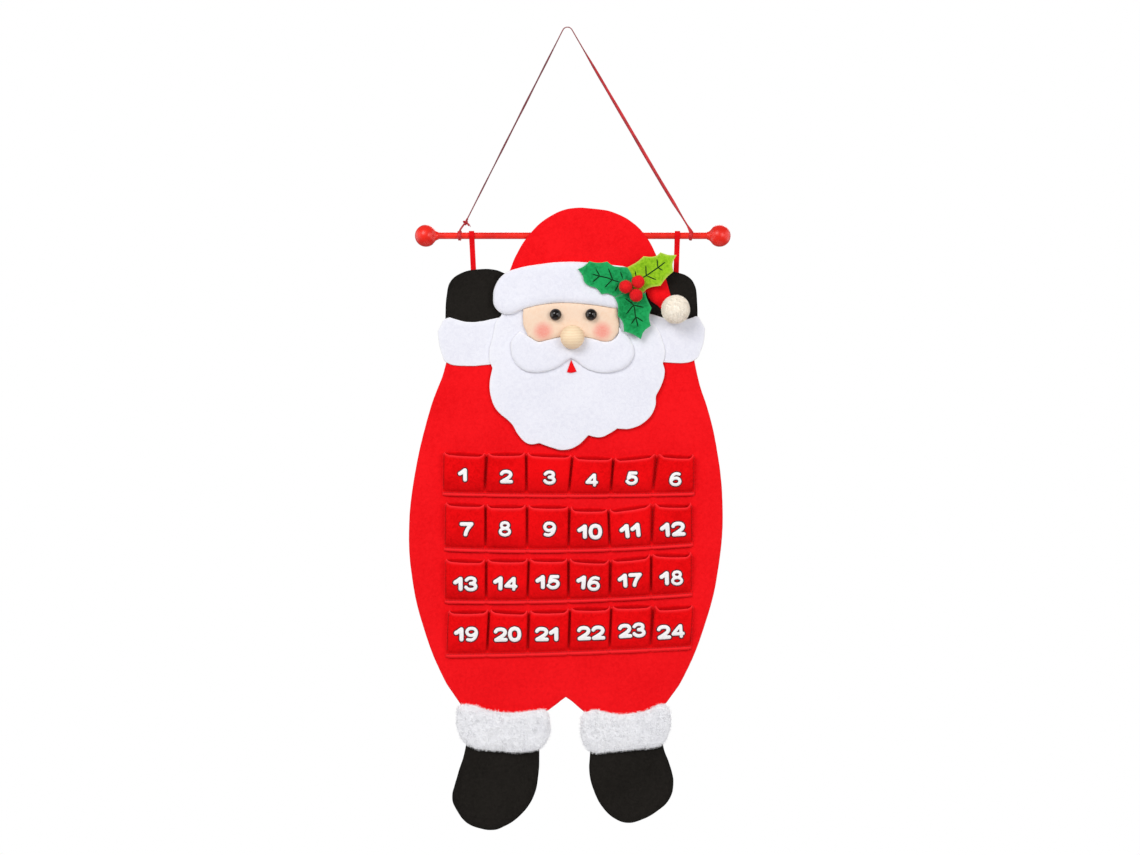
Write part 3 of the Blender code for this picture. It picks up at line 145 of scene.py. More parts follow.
def add_node(tree, kind, **inputs):
    """A node of one kind. Inputs go by their name, or by i and their number."""
    node = tree.nodes.new(kind)
    numbered = [int(name[1:]) if name[1:].isdigit() else name for name in inputs]
    feed(tree, [node.inputs[name] for name in numbered], inputs.values())
    return node


def own_coordinates(tree):
    return tree.nodes.new("ShaderNodeTexCoord").outputs["Object"]


def point_value(tree, word):
    """The number that the mesh keeps under this word at each of its points."""
    node = tree.nodes.new("ShaderNodeAttribute")
    node.attribute_name = word
    return node.outputs["Fac"]


def cloud(tree, where, scale, detail=3.0, roughness=0.55, distortion=0.0):
    """Soft noise from 0 to 1, with features about 1 / scale metres across."""
    node = add_node(tree, "ShaderNodeTexNoise", Vector=where, Scale=scale, Detail=detail,
                    Roughness=roughness, Distortion=distortion)
    return node.outputs["Fac"]


def spread(tree, value, low, high, to_low=0.0, to_high=1.0):
    """The part of a value between low and high, stretched to a new range."""
    node = tree.nodes.new("ShaderNodeMapRange")
    node.interpolation_type = "SMOOTHSTEP"
    feed(tree, node.inputs[:5], (value, low, high, to_low, to_high))
    return node.outputs["Result"]


def blend_colours(tree, share, first, second):
    node = tree.nodes.new("ShaderNodeMix")
    node.data_type = "RGBA"
    feed(tree, [node.inputs[k] for k in (0, 6, 7)], (share, first, second))
    return node.outputs[2]


def calculate(tree, how, first, second):
    node = tree.nodes.new("ShaderNodeMath")
    node.operation = how
    feed(tree, node.inputs, (first, second))
    return node.outputs[0]


def weigh(tree, first, first_share, second, second_share):
    """The sum of two values, each times its share."""
    return calculate(tree, "ADD", calculate(tree, "MULTIPLY", first, first_share),
                     calculate(tree, "MULTIPLY", second, second_share))


def raise_grain(tree, shader, height, depth, strength=1.0):
    """Bump from a height of 0 to 1, which stands for a real depth in metres."""
    bump = add_node(tree, "ShaderNodeBump", Strength=strength, Distance=depth, Height=height)
    tree.links.new(bump.outputs["Normal"], shader.inputs["Normal"])


def colour_with(tree, shader, tone):
    tree.links.new(tone, shader.inputs["Base Color"])


def speckled(name, dark, light, specks, grain=None, **settings):
    """A plain finish that wavers between two tones. Grain says how deep and how strong its bumps are."""
    material, tree, shader = new_material(name, **settings)
    specks = cloud(tree, own_coordinates(tree), *specks)
    colour_with(tree, shader, blend_colours(tree, specks, dark, light))
    if grain:
        raise_grain(tree, shader, specks, *grain)
    return material


print("material helpers ready")

# %% [markdown]
# The stage is a plain white sweep seen as white by the camera, a pale floor well below the boots that
# catches a soft shadow, and three large soft lamps. The world gives a little light from all sides.
# Only the camera sees it as pure white. Paint and beads mirror a dim room with a bright window on each side.

# %% Stage: world, floor and lamps
WORLD_FILL = 0.45
world = bpy.data.worlds.new("white_studio")
bpy.context.scene.world = world
world.use_nodes = True
sky = world.node_tree
sky.nodes.clear()
path_of_light = sky.nodes.new("ShaderNodeLightPath")
sees_white = calculate(sky, "MAXIMUM", path_of_light.outputs["Is Camera Ray"],
                       path_of_light.outputs["Is Transmission Ray"])
heading = sky.nodes.new("ShaderNodeSeparateXYZ")
sky.links.new(sky.nodes.new("ShaderNodeTexCoord").outputs["Generated"], heading.inputs[0])
sideways = calculate(sky, "ABSOLUTE", heading.outputs[0], 0.0)
upwards = calculate(sky, "ABSOLUTE", heading.outputs[2], 0.0)
window = calculate(sky, "MULTIPLY", spread(sky, sideways, 0.60, 0.90),
                   spread(sky, upwards, 0.30, 0.70, 1.0, 0.0))


def choose(tree, share, low, high):
    """The first value at share 0, the second at share 1."""
    return weigh(tree, share, high, calculate(tree, "SUBTRACT", 1.0, share), low)


ROOM_MIRRORED = 0.20
WINDOW_MIRRORED = 2.4
mirrored = choose(sky, window, ROOM_MIRRORED, WINDOW_MIRRORED)
strength = choose(sky, path_of_light.outputs["Is Glossy Ray"], WORLD_FILL, mirrored)
strength = choose(sky, sees_white, strength, 1.0)
chosen = add_node(sky, "ShaderNodeBackground", Color=(1.0, 1.0, 1.0), Strength=strength)
sky_out = sky.nodes.new("ShaderNodeOutputWorld")
sky.links.new(chosen.outputs[0], sky_out.inputs["Surface"])

FLOOR_LEVEL = -1.55
FLOOR_RADIUS = 1.1
bpy.ops.mesh.primitive_circle_add(vertices=96, radius=FLOOR_RADIUS, fill_type="NGON", location=(0, 0, FLOOR_LEVEL))
floor = bpy.context.object
floor.name = "floor"
floor_paint, tree, shader = new_material("floor_white", Base_Color=(0.86, 0.86, 0.86, 1.0), Roughness=0.9)
radius = add_node(tree, "ShaderNodeVectorMath", i0=own_coordinates(tree))
radius.operation = "LENGTH"
rim = spread(tree, radius.outputs["Value"], 0.45 * FLOOR_RADIUS, FLOOR_RADIUS)
clear = tree.nodes.new("ShaderNodeBsdfTransparent")
faded = add_node(tree, "ShaderNodeMixShader", i0=rim, i1=shader.outputs[0], i2=clear.outputs[0])
tree.links.new(faded.outputs[0], tree.nodes["Material Output"].inputs["Surface"])
floor.data.materials.append(floor_paint)
floor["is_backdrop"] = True


def add_lamp(name, place, aim, size, power):
    lamp = bpy.data.lights.new(name, "AREA")
    lamp.shape = "SQUARE"
    lamp.size = size
    lamp.energy = power
    holder = bpy.data.objects.new(name, lamp)
    holder.location = place
    holder.rotation_euler = (Vector(aim) - Vector(place)).to_track_quat("-Z", "Y").to_euler()
    bpy.context.scene.collection.objects.link(holder)


FIGURE_MIDDLE = (0.0, 0.0, -0.56)
add_lamp("key_lamp", (-1.20, -2.1, 0.95), FIGURE_MIDDLE, 1.3, 39.5)
add_lamp("fill_lamp", (1.35, -2.1, 0.1), FIGURE_MIDDLE, 1.1, 20.5)
add_lamp("back_lamp", (0.4, 2.2, 0.8), FIGURE_MIDDLE, 1.4, 22.0)
print("stage: world", WORLD_FILL, "and three lamps")

# %% [markdown]
# A tube follows any line of points. The cross-section is an oval that can be turned and resized on the
# way, which makes cords, ribbons, threads and rolled edges with one tool. The frame of the oval is
# carried along without twisting, so that the turn given for each point is the only twist.

# %% Pieces, tubes and smooth lines
MERGED = 2e-6


def add_piece(name, points, faces, material, body, slot, replaces=(), rim=None, shade=None):
    """A mesh that rides on a body. Its material may read a rim tint and a painted shade, 0 to 1, at each point."""
    mesh = bpy.data.meshes.new(name)
    mesh.from_pydata([tuple(map(float, p)) for p in points], [], [tuple(map(int, f)) for f in faces])
    for word, values in (("rim", rim), ("shade", shade)):
        if values is not None:
            mesh.attributes.new(word, "FLOAT", "POINT").data.foreach_set("value", np.array(values, np.float32))
    mesh.materials.append(material)
    solid = bmesh.new()
    solid.from_mesh(mesh)
    bmesh.ops.remove_doubles(solid, verts=solid.verts, dist=MERGED)
    bmesh.ops.recalc_face_normals(solid, faces=solid.faces)
    solid.to_mesh(mesh)
    solid.free()
    mesh.shade_smooth()
    mesh.set_sharp_from_angle(angle=math.radians(70))
    piece = bpy.data.objects.new(name, mesh)
    bpy.context.scene.collection.objects.link(piece)
    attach(piece, body)
    if replaces:
        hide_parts(*replaces)
    return piece


def length_of(line):
    return float(np.linalg.norm(np.diff(line, axis=0), axis=1).sum())


def marks_along(line):
    """How far along a line each of its points lies."""
    return np.concatenate([[0], np.cumsum(np.linalg.norm(np.diff(line, axis=0), axis=1))])


def smooth_line(points, step, closed=False):
    """A smooth curve through points, sampled at even steps along its length."""
    points = np.array(points, float)
    if closed:
        wide = np.vstack([points[-1:], points, points[:2]])
    else:
        wide = np.vstack([2 * points[:1] - points[1:2], points, 2 * points[-1:] - points[-2:-1]])
    parts = []
    t = np.linspace(0, 1, 9)[:-1, None]
    for a, b, c, d in zip(wide, wide[1:], wide[2:], wide[3:]):
        parts.append(0.5 * (2 * b + (c - a) * t + (2 * a - 5 * b + 4 * c - d) * t ** 2
                            + (3 * b - a - 3 * c + d) * t ** 3))
    line = np.vstack(parts + [wide[-2:-1]])
    lengths = marks_along(line)
    count = max(1, round(lengths[-1] / step))
    marks = np.linspace(0, lengths[-1], count + 1)
    line = np.stack([np.interp(marks, lengths, line[:, k]) for k in range(line.shape[1])], axis=1)
    return line[:-1] if closed else line


def loft_faces(rings, sides):
    """Faces of a closed solid through rings of points, each ring with the same number of sides."""
    faces = []
    for i in range(rings - 1):
        for k in range(sides):
            m = (k + 1) % sides
            faces.append((i * sides + k, (i + 1) * sides + k, (i + 1) * sides + m, i * sides + m))
    return faces + [tuple(range(sides)), tuple(range((rings - 1) * sides, rings * sides))[::-1]]


def steps_round(count):
    """Cosine and sine of each step round a circle."""
    return [(math.cos(2 * math.pi * k / count), math.sin(2 * math.pi * k / count)) for k in range(count)]


def tube_mesh(line, half_width, half_depth, turns=0.0, sides=12, start_side=(0.0, 1.0, 0.0)):
    """Points and faces of an oval tube along a line; sizes and turns are numbers or one per point."""
    line = np.array(line, float)
    count = len(line)
    wide, deep, turn = (np.broadcast_to(np.array(v, float), count) for v in (half_width, half_depth, turns))
    ahead = np.gradient(line, axis=0)
    ahead /= np.linalg.norm(ahead, axis=1)[:, None]
    side = np.array(start_side, float)
    points = []
    for place, forward, a, b, angle in zip(line, ahead, wide, deep, turn):
        side = side - forward * (side @ forward)
        side /= np.linalg.norm(side)
        other = np.cross(forward, side)
        for c, s in steps_round(sides):
            across, up = a * c, b * s
            across, up = (across * math.cos(angle) - up * math.sin(angle),
                          across * math.sin(angle) + up * math.cos(angle))
            points.append(place + other * across + side * up)
    return points, loft_faces(count, sides)


def join_meshes(parts):
    points, faces = [], []
    for some_points, some_faces in parts:
        shift = len(points)
        points.extend(some_points)
        faces.extend(tuple(i + shift for i in face) for face in some_faces)
    return points, faces


print("tube and line helpers ready")

# %% [markdown]
# The hanging cord is a narrow satin ribbon, about 3 mm wide, that twists as it rises: the left run shows
# its edge and the right run its flat side. It is drawn up to one point by the hook and comes down to a
# knot at the left end of the rod and to a turn round the rod at the right. Its fine threads run
# lengthwise and catch the light, so the finish is a little glossy.

# %% Satin cord material
def satin_cord(name, colour, dark, painted_shade_tone):
    material, tree, shader = new_material(name, Roughness=0.42, Sheen_Weight=0.15, Specular_IOR_Level=0.35)
    where = own_coordinates(tree)
    threads = cloud(tree, where, 1500.0, 2.0, 0.6, 0.4)
    slow = cloud(tree, where, 90.0, 2.0)
    tone = blend_colours(tree, spread(tree, weigh(tree, threads, 0.6, slow, 0.4), 0.35, 0.62), dark, colour)
    # Painted shade: each point's shade value blends in the darker tone.
    colour_with(tree, shader, blend_colours(tree, point_value(tree, "shade"), tone, painted_shade_tone))
    raise_grain(tree, shader, threads, 0.00025, 0.8)
    return material


RIBBON = satin_cord("ribbon_red", (0.76, 0.012, 0.018), (0.34, 0.003, 0.008), (0.11, 0.004, 0.014))

# %% [markdown]
# The cord's route is read off the photograph as a few places, and a smooth curve runs through them. A
# ribbon is a flat tube whose width, twist and far side's shade change on the way. It could be simulated
# as a hanging rope, but the weight below pulls it tight, so its line is known.

# %% The cord from the knot over the hook to the right end of the rod
ROD_AXIS_Z = -0.2505
CORD_ROUTE = [
    (-0.1210, -0.2318), (-0.0960, -0.1823), (-0.0650, -0.1210), (-0.0340, -0.0598), (-0.0140, -0.0203),
    (-0.0053, -0.0032), (-0.0030, -0.0009), (0.0, 0.0), (0.0030, -0.0008), (0.0052, -0.0030),
    (0.0140, -0.0181), (0.0400, -0.0627), (0.0750, -0.1225), (0.1100, -0.1824), (0.1443, -0.2389)]
RIBBON_WIDTH = 0.0036
RIBBON_THICK = 0.0011
RIBBON_SIDES = 14
cord_line = smooth_line([(x, 0.0, z) for x, z in CORD_ROUTE], 0.0022)
along = np.linspace(0, 1, len(cord_line))
turn = np.interp(along, [0, 0.1, 0.3, 0.44, 0.5, 0.55, 0.62, 0.8, 0.94, 0.98, 1.0],
                 [1.0, 1.1, 0.9, 1.1, 1.4, 1.0, 0.35, 0.1, 0.1, 0.5, 0.4])
width = RIBBON_WIDTH / 2 * np.interp(along, [0, 0.05, 0.14, 0.45, 0.6, 0.8, 0.94, 0.98, 1.0],
                                     [0.72, 0.82, 1.05, 0.98, 1.04, 1.18, 1.14, 0.7, 0.64])
turn = turn + 0.12 * np.sin(along * 60)
points, faces = tube_mesh(cord_line, width, RIBBON_THICK / 2, turn, RIBBON_SIDES)
# Painted shade: darker along the left run, which is seen edge-on, and on the ribbon's far side.
edge_on_shade = np.interp(along, [0.0, 0.08, 0.42, 0.48, 0.56, 0.7, 1.0], [0.5, 0.9, 0.9, 0.4, 0.3, 0.1, 0.1])
sides_from_far = np.arange(RIBBON_SIDES) - RIBBON_SIDES // 2
far_side_shade = np.clip(np.cos(2 * math.pi * sides_from_far / RIBBON_SIDES), 0, 1) * 0.7
shades = [min(1.0, e + f * (1 - e)) for e in edge_on_shade for f in far_side_shade]
cord = add_piece("hanging_cord", points, faces, RIBBON, "hanger", "red_cord", ["hanger_cord"], shade=shades)
print("cord:", round(length_of(cord_line), 3), "m long")

# %% [markdown]
# At the left the ribbon takes two turns round the rod and is tied off in a small overhand knot with a
# frayed tail. At the right it takes one wide turn and lies flat where it leaves the rod.

# %% Knot and turns round the rod
TIE_LEFT_X = -0.1296
TIE_RIGHT_X = 0.1482
KNOT = np.array((-0.1225, 0.0, -0.2347))
TURN_RADIUS = 0.0052


def turns_round_rod(x, count, pitch, half_width, lean=0.0):
    angles = np.linspace(0, 2 * math.pi * count, int(26 * count) + 1)
    line = np.stack([x + pitch * angles / (2 * math.pi) + lean * np.cos(angles),
                     -TURN_RADIUS * np.sin(angles), ROD_AXIS_Z + TURN_RADIUS * np.cos(angles)], axis=1)
    return tube_mesh(line, half_width, 0.0006, 0.0, 10, start_side=(0.0, 0.0, 1.0))


knot_angle = np.linspace(0, 2 * math.pi, 61)
knot_line = KNOT + 0.00125 * np.stack([np.sin(knot_angle) + 2 * np.sin(2 * knot_angle) * 0.55,
                                       -np.sin(3 * knot_angle) * 0.9,
                                       np.cos(knot_angle) - 2 * np.cos(2 * knot_angle) * 0.55], axis=1)
shank = smooth_line([(TIE_LEFT_X, -0.001, ROD_AXIS_Z + TURN_RADIUS), (-0.1275, -0.001, -0.2415), KNOT], 0.0008)
collar = smooth_line([KNOT, cord_line[0], cord_line[1]], 0.0008)
tail = smooth_line([KNOT, KNOT + (0.0022, -0.0006, -0.0010), KNOT + (0.0046, -0.0004, -0.0036)], 0.0006)
left_parts = [
    turns_round_rod(TIE_LEFT_X - 0.0013, 2, 0.0017, 0.0011),
    tube_mesh(shank, 0.0011, 0.0008),
    tube_mesh(collar, 0.0012, 0.0009),
    tube_mesh(knot_line, 0.00085, 0.00085, sides=8),
    tube_mesh(tail, np.linspace(0.0009, 0.0014, len(tail)), 0.0006),
]
for k in range(5):
    start = tail[-1]
    end = start + np.array((0.0016, 0.0004 * (k - 2), -0.0010 + 0.0005 * (k - 2)))
    left_parts.append(tube_mesh(np.linspace(start, end, 3), 0.00015, 0.0001, sides=5))
points, faces = join_meshes(left_parts)
# Painted shade for each part of the tie: turns, shank, collar, knot, tail and frays.
part_shades = [0.05, 0.35, 0.6, 0.35, 0.45] + [0.5] * 5
shades = [shade for shade, (part, _) in zip(part_shades, left_parts) for _ in part]
tie_left = add_piece("cord_knot_left", points, faces, RIBBON, "hanger", "red_cord", ["cord_tie_left"],
                     shade=shades)

flare = smooth_line([cord_line[-2], cord_line[-1], (0.1466, -0.0012, -0.2430),
                     (TIE_RIGHT_X, -0.0040, ROD_AXIS_Z + 0.0040)], 0.0008)
right_parts = [
    turns_round_rod(TIE_RIGHT_X - 0.0008, 1.12, 0.0012, 0.0019, 0.0006),
    tube_mesh(flare, np.linspace(0.0011, 0.0026, len(flare)), 0.0006, np.linspace(0.4, 0.1, len(flare))),
]
points, faces = join_meshes(right_parts)
# The right turn carries only a little painted shade.
tie_right = add_piece("cord_turn_right", points, faces, RIBBON, "hanger", "red_cord", ["cord_tie_right"],
                      shade=[0.08] * len(points))
print("knot and turns:", len(tie_left.data.vertices) + len(tie_right.data.vertices), "points")

# %% [markdown]
# Felt is pressed wool: no weave, but fine fibres lying every way, a mottled colour where the fibres are
# thicker, and a soft halo of loose ends that catches light at the rim. The recipe layers three sizes of
# noise: slow clouds for uneven dye, flecks of a few millimetres for matted wool, and hair-fine streaks
# for single fibres. The last two also raise the surface. Light and shade are painted in too: a tint where
# a point's rim value is high, which is painted highlight where it is paler, and painted shade in folds.

# %% Felt material
def felt(name, colour, shade, fleck, mottling=0.55, sheen=0.12, grain=0.0006, gloss=0.06, rim=None, deep=None):
    """Felt of one colour. Rim is a tint where a point's rim value is high, painted highlight where it is paler; deep
    is painted shade in folds.
    """
    tint = (*[min(1.0, 0.25 + 0.9 * c) for c in colour], 1.0)
    material, tree, shader = new_material(name, Roughness=0.95, Specular_IOR_Level=gloss, Sheen_Weight=sheen,
                                          Sheen_Roughness=0.45, Sheen_Tint=tint)
    where = own_coordinates(tree)
    dye = cloud(tree, where, 16.0, 2.0)
    wool = cloud(tree, where, 240.0, 4.0, 0.62, 0.8)
    fibres = cloud(tree, where, 1100.0, 3.0, 0.7, 2.5)
    body = weigh(tree, dye, 0.35, wool, 0.65)
    tone = blend_colours(tree, spread(tree, body, 0.5 - mottling / 2, 0.5 + mottling / 3), shade, colour)
    tone = blend_colours(tree, spread(tree, fibres, 0.52, 0.80, 0.0, 0.5), tone, fleck)
    # Painted shade by each point's shade value, then the rim tint by its rim value.
    for word, mixed_in in (("shade", deep), ("rim", rim)):
        if mixed_in:
            tone = blend_colours(tree, point_value(tree, word), tone, mixed_in)
    colour_with(tree, shader, tone)
    raise_grain(tree, shader, weigh(tree, wool, 0.7, fibres, 0.3), grain, 0.7)
    return material


# Rim tints: painted highlight at the cut edges of the white, green and lime felt; the red and black felt are darker
# at the edge. The pocket felt's rim is painted highlight on mouth rims and hem ridges, and its deep colour is
# painted shade.
RED_FELT = felt("felt_red", (0.92, 0.008, 0.012), (0.77, 0.003, 0.006), (0.98, 0.026, 0.034), sheen=0.08,
                rim=(0.80, 0.010, 0.014))
STRAP_FELT = felt("felt_strap_red", (0.80, 0.006, 0.010), (0.64, 0.002, 0.005), (0.90, 0.020, 0.028))
POCKET_FELT = felt("felt_pocket_red", (0.88, 0.003, 0.005), (0.64, 0.001, 0.002), (0.95, 0.012, 0.016), 0.42, 0.06,
                   rim=(0.99, 0.028, 0.036), deep=(0.40, 0.001, 0.003))
WHITE_FELT = felt("felt_white", (0.84, 0.84, 0.91), (0.74, 0.74, 0.83), (0.90, 0.90, 0.96), rim=(0.93, 0.93, 0.95))
BLACK_FELT = felt("felt_black", (0.015, 0.013, 0.011), (0.007, 0.006, 0.005), (0.055, 0.048, 0.042), sheen=0.25,
                  rim=(0.003, 0.003, 0.003))
GREEN_FELT = felt("felt_green", (0.014, 0.35, 0.097), (0.005, 0.18, 0.045), (0.05, 0.48, 0.17), 0.32,
                  rim=(0.05, 0.45, 0.16))
LIME_FELT = felt("felt_lime", (0.32, 0.60, 0.018), (0.18, 0.40, 0.010), (0.52, 0.72, 0.08), 0.32,
                 rim=(0.62, 0.72, 0.13))
print("felt:", [m.name for m in bpy.data.materials if m.name.startswith("felt")])

# %% [markdown]
# Each felt piece is cut along the outline that the CAD node has when it is seen from the front. The
# outline is read from the node's own mesh: the edges where its forward-facing faces end. Its sharp
# corners are kept, and the runs between them are smoothed, as scissors would cut them.

# %% Reading and smoothing an outline
def front_outline(node):
    mesh = frame["nodes"][node].data
    mesh.calc_loop_triangles()
    keys = {}
    index = [keys.setdefault(tuple(round(c, 6) for c in v.co), len(keys)) for v in mesh.vertices]
    spots = np.array(list(keys))[:, [0, 2]]
    edges = set()
    for triangle in mesh.loop_triangles:
        if triangle.normal.y < -0.05:
            a, b, c = (index[i] for i in triangle.vertices)
            edges.update(((a, b), (b, c), (c, a)))
    after = {a: b for a, b in edges if (b, a) not in edges}
    best = []
    while after:
        first = next(iter(after))
        loop = [first]
        while loop[-1] in after:
            step = after.pop(loop[-1])
            if step == first:
                break
            loop.append(step)
        best = max(best, loop, key=len)
    return spots[best]


def smooth_outline(loop, step, corner=30.0):
    """An even run of points round a closed outline, with its sharp corners kept."""
    loop = np.array(loop, float)
    keep = np.linalg.norm(loop - np.roll(loop, 1, axis=0), axis=1) > 1e-5
    loop = loop[keep]
    before = loop - np.roll(loop, 1, axis=0)
    ahead = np.roll(loop, -1, axis=0) - loop
    turning = np.degrees(np.abs(np.arctan2(before[:, 0] * ahead[:, 1] - before[:, 1] * ahead[:, 0],
                                           (before * ahead).sum(axis=1))))
    corners = list(np.nonzero(turning > corner)[0])
    if not corners:
        return smooth_line(loop, step, closed=True)
    parts = []
    for start, end in zip(corners, corners[1:] + [corners[0] + len(loop)]):
        run = loop[np.arange(start, end + 1) % len(loop)]
        parts.append(smooth_line(run, step)[:-1])
    return np.vstack(parts)


def area_of(loop):
    x, z = loop[:, 0], loop[:, 1]
    return abs(float(np.sum(x * np.roll(z, -1) - z * np.roll(x, -1)))) / 2


print("outline of the hat:", len(smooth_outline(front_outline("hat"), 0.0025)), "points")

# %% [markdown]
# A cut piece is a net of small triangles between its edge and a grid inside it. Every point knows how
# far it is from the edge. That one number shapes the piece: flat felt rounds off over a fraction of a
# millimetre, and a stuffed piece rises in a dome. Soft sheets never hang dead flat, so all the
# layers of the figure follow one shared, gentle sway, and stay the same distance apart.

# %% Cutting and stuffing
FOLD_LINE = -0.8100  # where body and legs meet
FOLD_GAP = 0.000006  # keeps the two cut ends from sharing one plane


def eased(share):
    """A share held between 0 and 1, with soft ends."""
    share = np.clip(share, 0, 1)
    return share * share * (3 - 2 * share)


def sway(x, z):
    """How far the hanging felt moves back or forward: the same for every layer, nothing at the folds."""
    low = eased((-z - 0.53) / 0.22)
    wide = eased((np.abs(x - 0.01) - 0.10) / 0.08)
    away = eased(np.abs(z - FOLD_LINE) / 0.035)
    body = 0.0011 * np.sin(x * 24.0 + 0.8) + 0.0008 * np.sin(z * 21.0 + x * 9.0)
    arms = -0.0022 * np.sin((z + 0.34) * 16.0) + 0.0008
    return low * body * away + wide * arms * np.clip((z + 0.62) / 0.12, 0, 1)


def edge_distance(points, loops):
    """Distance of each point from the nearest stretch of the outlines."""
    best = np.full(len(points), 1.0)
    for loop in loops:
        for start, end in loop:
            run = end - start
            t = np.clip(((points - start) @ run) / max(run @ run, 1e-16), 0, 1)
            best = np.minimum(best, np.linalg.norm(points - start - t[:, None] * run, axis=1))
    return best


def is_inside(points, loops):
    inside = np.zeros(len(points), bool)
    for loop in loops:
        for (x0, z0), (x1, z1) in zip(loop, np.roll(loop, -1, axis=0)):
            if z0 == z1:
                continue
            crosses = (z0 > points[:, 1]) != (z1 > points[:, 1])
            inside ^= crosses & (points[:, 0] < (x1 - x0) * (points[:, 1] - z0) / (z1 - z0) + x0)
    return inside


def inward_ways(loop):
    """The direction into the cloth at each point of an outline."""
    run = np.roll(loop, -1, axis=0) - np.roll(loop, 1, axis=0)
    run /= np.maximum(np.linalg.norm(run, axis=1), 1e-9)[:, None]
    return np.stack([-run[:, 1], run[:, 0]], axis=1)


def cut_net(loops, insets, spacing, is_seam=None):
    """2-D points, triangles, each point's distance from the cut edge, and the sides that lie on it."""
    cut_edges = [[(a, b) for a, b in zip(loop, np.roll(loop, -1, axis=0))
                  if not (is_seam and is_seam(*a) and is_seam(*b))] for loop in loops]
    everything, constraints, rings = [], [], []
    for loop in loops:
        start = len(everything)
        everything.extend(loop)
        constraints += [(start + i, start + (i + 1) % len(loop)) for i in range(len(loop))]
        for inset in insets:
            ring = loop + inward_ways(loop) * inset
            rings.append(ring[(edge_distance(ring, cut_edges) > 0.85 * inset) & is_inside(ring, loops)])
    low = np.min([loop.min(axis=0) for loop in loops], axis=0)
    high = np.max([loop.max(axis=0) for loop in loops], axis=0)
    rows = np.arange(low[1], high[1], spacing * 0.866)
    grid = np.array([(x + (k % 2) * spacing / 2, z) for k, z in enumerate(rows)
                     for x in np.arange(low[0], high[0], spacing)]).reshape(-1, 2)
    grid = grid[is_inside(grid, loops)]
    grid = grid[edge_distance(grid, cut_edges) > insets[-1] + 0.55 * spacing]
    spots = [Vector(p) for p in np.vstack([np.array(everything)] + rings + [grid])]
    made, _, triangles, *_ = delaunay_2d_cdt(spots, constraints, [], 0, 1e-7)
    made = np.array([tuple(p) for p in made])
    triangles = np.array([tuple(t) for t in triangles])
    triangles = triangles[is_inside(made[triangles].mean(axis=1), loops)]
    sides = np.sort(triangles[:, [0, 1, 1, 2, 2, 0]].reshape(-1, 2), axis=1)
    sides, uses = np.unique(sides, axis=0, return_counts=True)
    return made, triangles, edge_distance(made, cut_edges), sides[uses == 1].tolist()


def rounded(distance, radius):
    """A quarter circle: 0 at the edge, 1 from a radius inwards."""
    return np.sqrt(np.maximum(0.0, 1 - (1 - np.clip(distance / radius, 0, 1)) ** 2))


def flat_form(thick):
    """Front and back of a flat sheet with a softly rounded cut edge."""
    def form(points, distance):
        round_off = rounded(distance, 0.45 * thick)
        return thick * (0.5 + 0.5 * round_off), thick * (0.5 - 0.5 * round_off)
    return form


def pad_form(thick, reach, lip, lumps, scale):
    """Front and back of a stuffed piece: a dome that rises over a reach, on a flat back."""
    def form(points, distance):
        dome = rounded(distance, reach)
        bumps = np.array([noise.noise(Vector((x * scale, 3.1, z * scale))) for x, z in points])
        front = thick * (lip + (1 - lip) * dome) + lumps * bumps * dome
        return front, lip * thick * (1 - rounded(distance, lip * thick))
    return form


def facing_front(points, triangles):
    """The triangles of a net, each turned so that it faces the viewer."""
    return [(a, c, b) if np.cross(points[b] - points[a], points[c] - points[a]) < 0 else (a, b, c)
            for a, b, c in triangles]


def solid_from_net(net, back_y, form):
    """Points and faces of a closed piece, and how near each point is to the cut edge."""
    points, triangles, distance, rim_sides = net
    front, back = form(points, distance)
    rest = back_y + sway(points[:, 0], points[:, 1])
    count = len(points)
    shell = [(x, y - f, z) for (x, z), y, f in zip(points, rest, front)]
    twin = np.arange(count)
    for i, ((x, z), y, b) in enumerate(zip(points, rest, back)):
        if front[i] - b > 1e-7:
            twin[i] = len(shell)
            shell.append((x, y - b, z))
    faces = []
    for a, b, c in facing_front(points, triangles):
        faces.append((a, b, c))
        if len({twin[a], twin[b], twin[c]} | {a, b, c}) > 3:
            faces.append((twin[c], twin[b], twin[a]))
    for i, j in rim_sides:
        quad = [i, twin[i], twin[j], j]
        ring = [p for k, p in enumerate(quad) if p != quad[k - 1]]
        if len(ring) > 2:
            faces.append(tuple(ring))
    # Highest at the cut edge: the share of the rim tint, painted highlight on paler felt.
    edge_tint_share = np.zeros(len(shell))
    edge_tint_share[:count] = np.exp(-(distance / 0.0008) ** 2)
    edge_tint_share[twin] = edge_tint_share[:count]
    return shell, faces, edge_tint_share


def roughen(loop, amount=0.00012):
    """Scissors never cut quite true: moves each point a little, slowly along the edge."""
    shift = np.array([noise.noise(Vector((x * 170, 7.7, z * 170))) for x, z in loop])
    return loop - inward_ways(loop) * (amount * shift)[:, None]


LAYERS = {name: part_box(name) for name in frame["nodes"]}


def back_of(node):
    return LAYERS[node][1].y


def front_of(node):
    return LAYERS[node][0].y


def at_fold(x, z):
    """Where the body's sheet runs on into the legs: nothing is cut there."""
    return abs(z - FOLD_LINE) < 0.0006


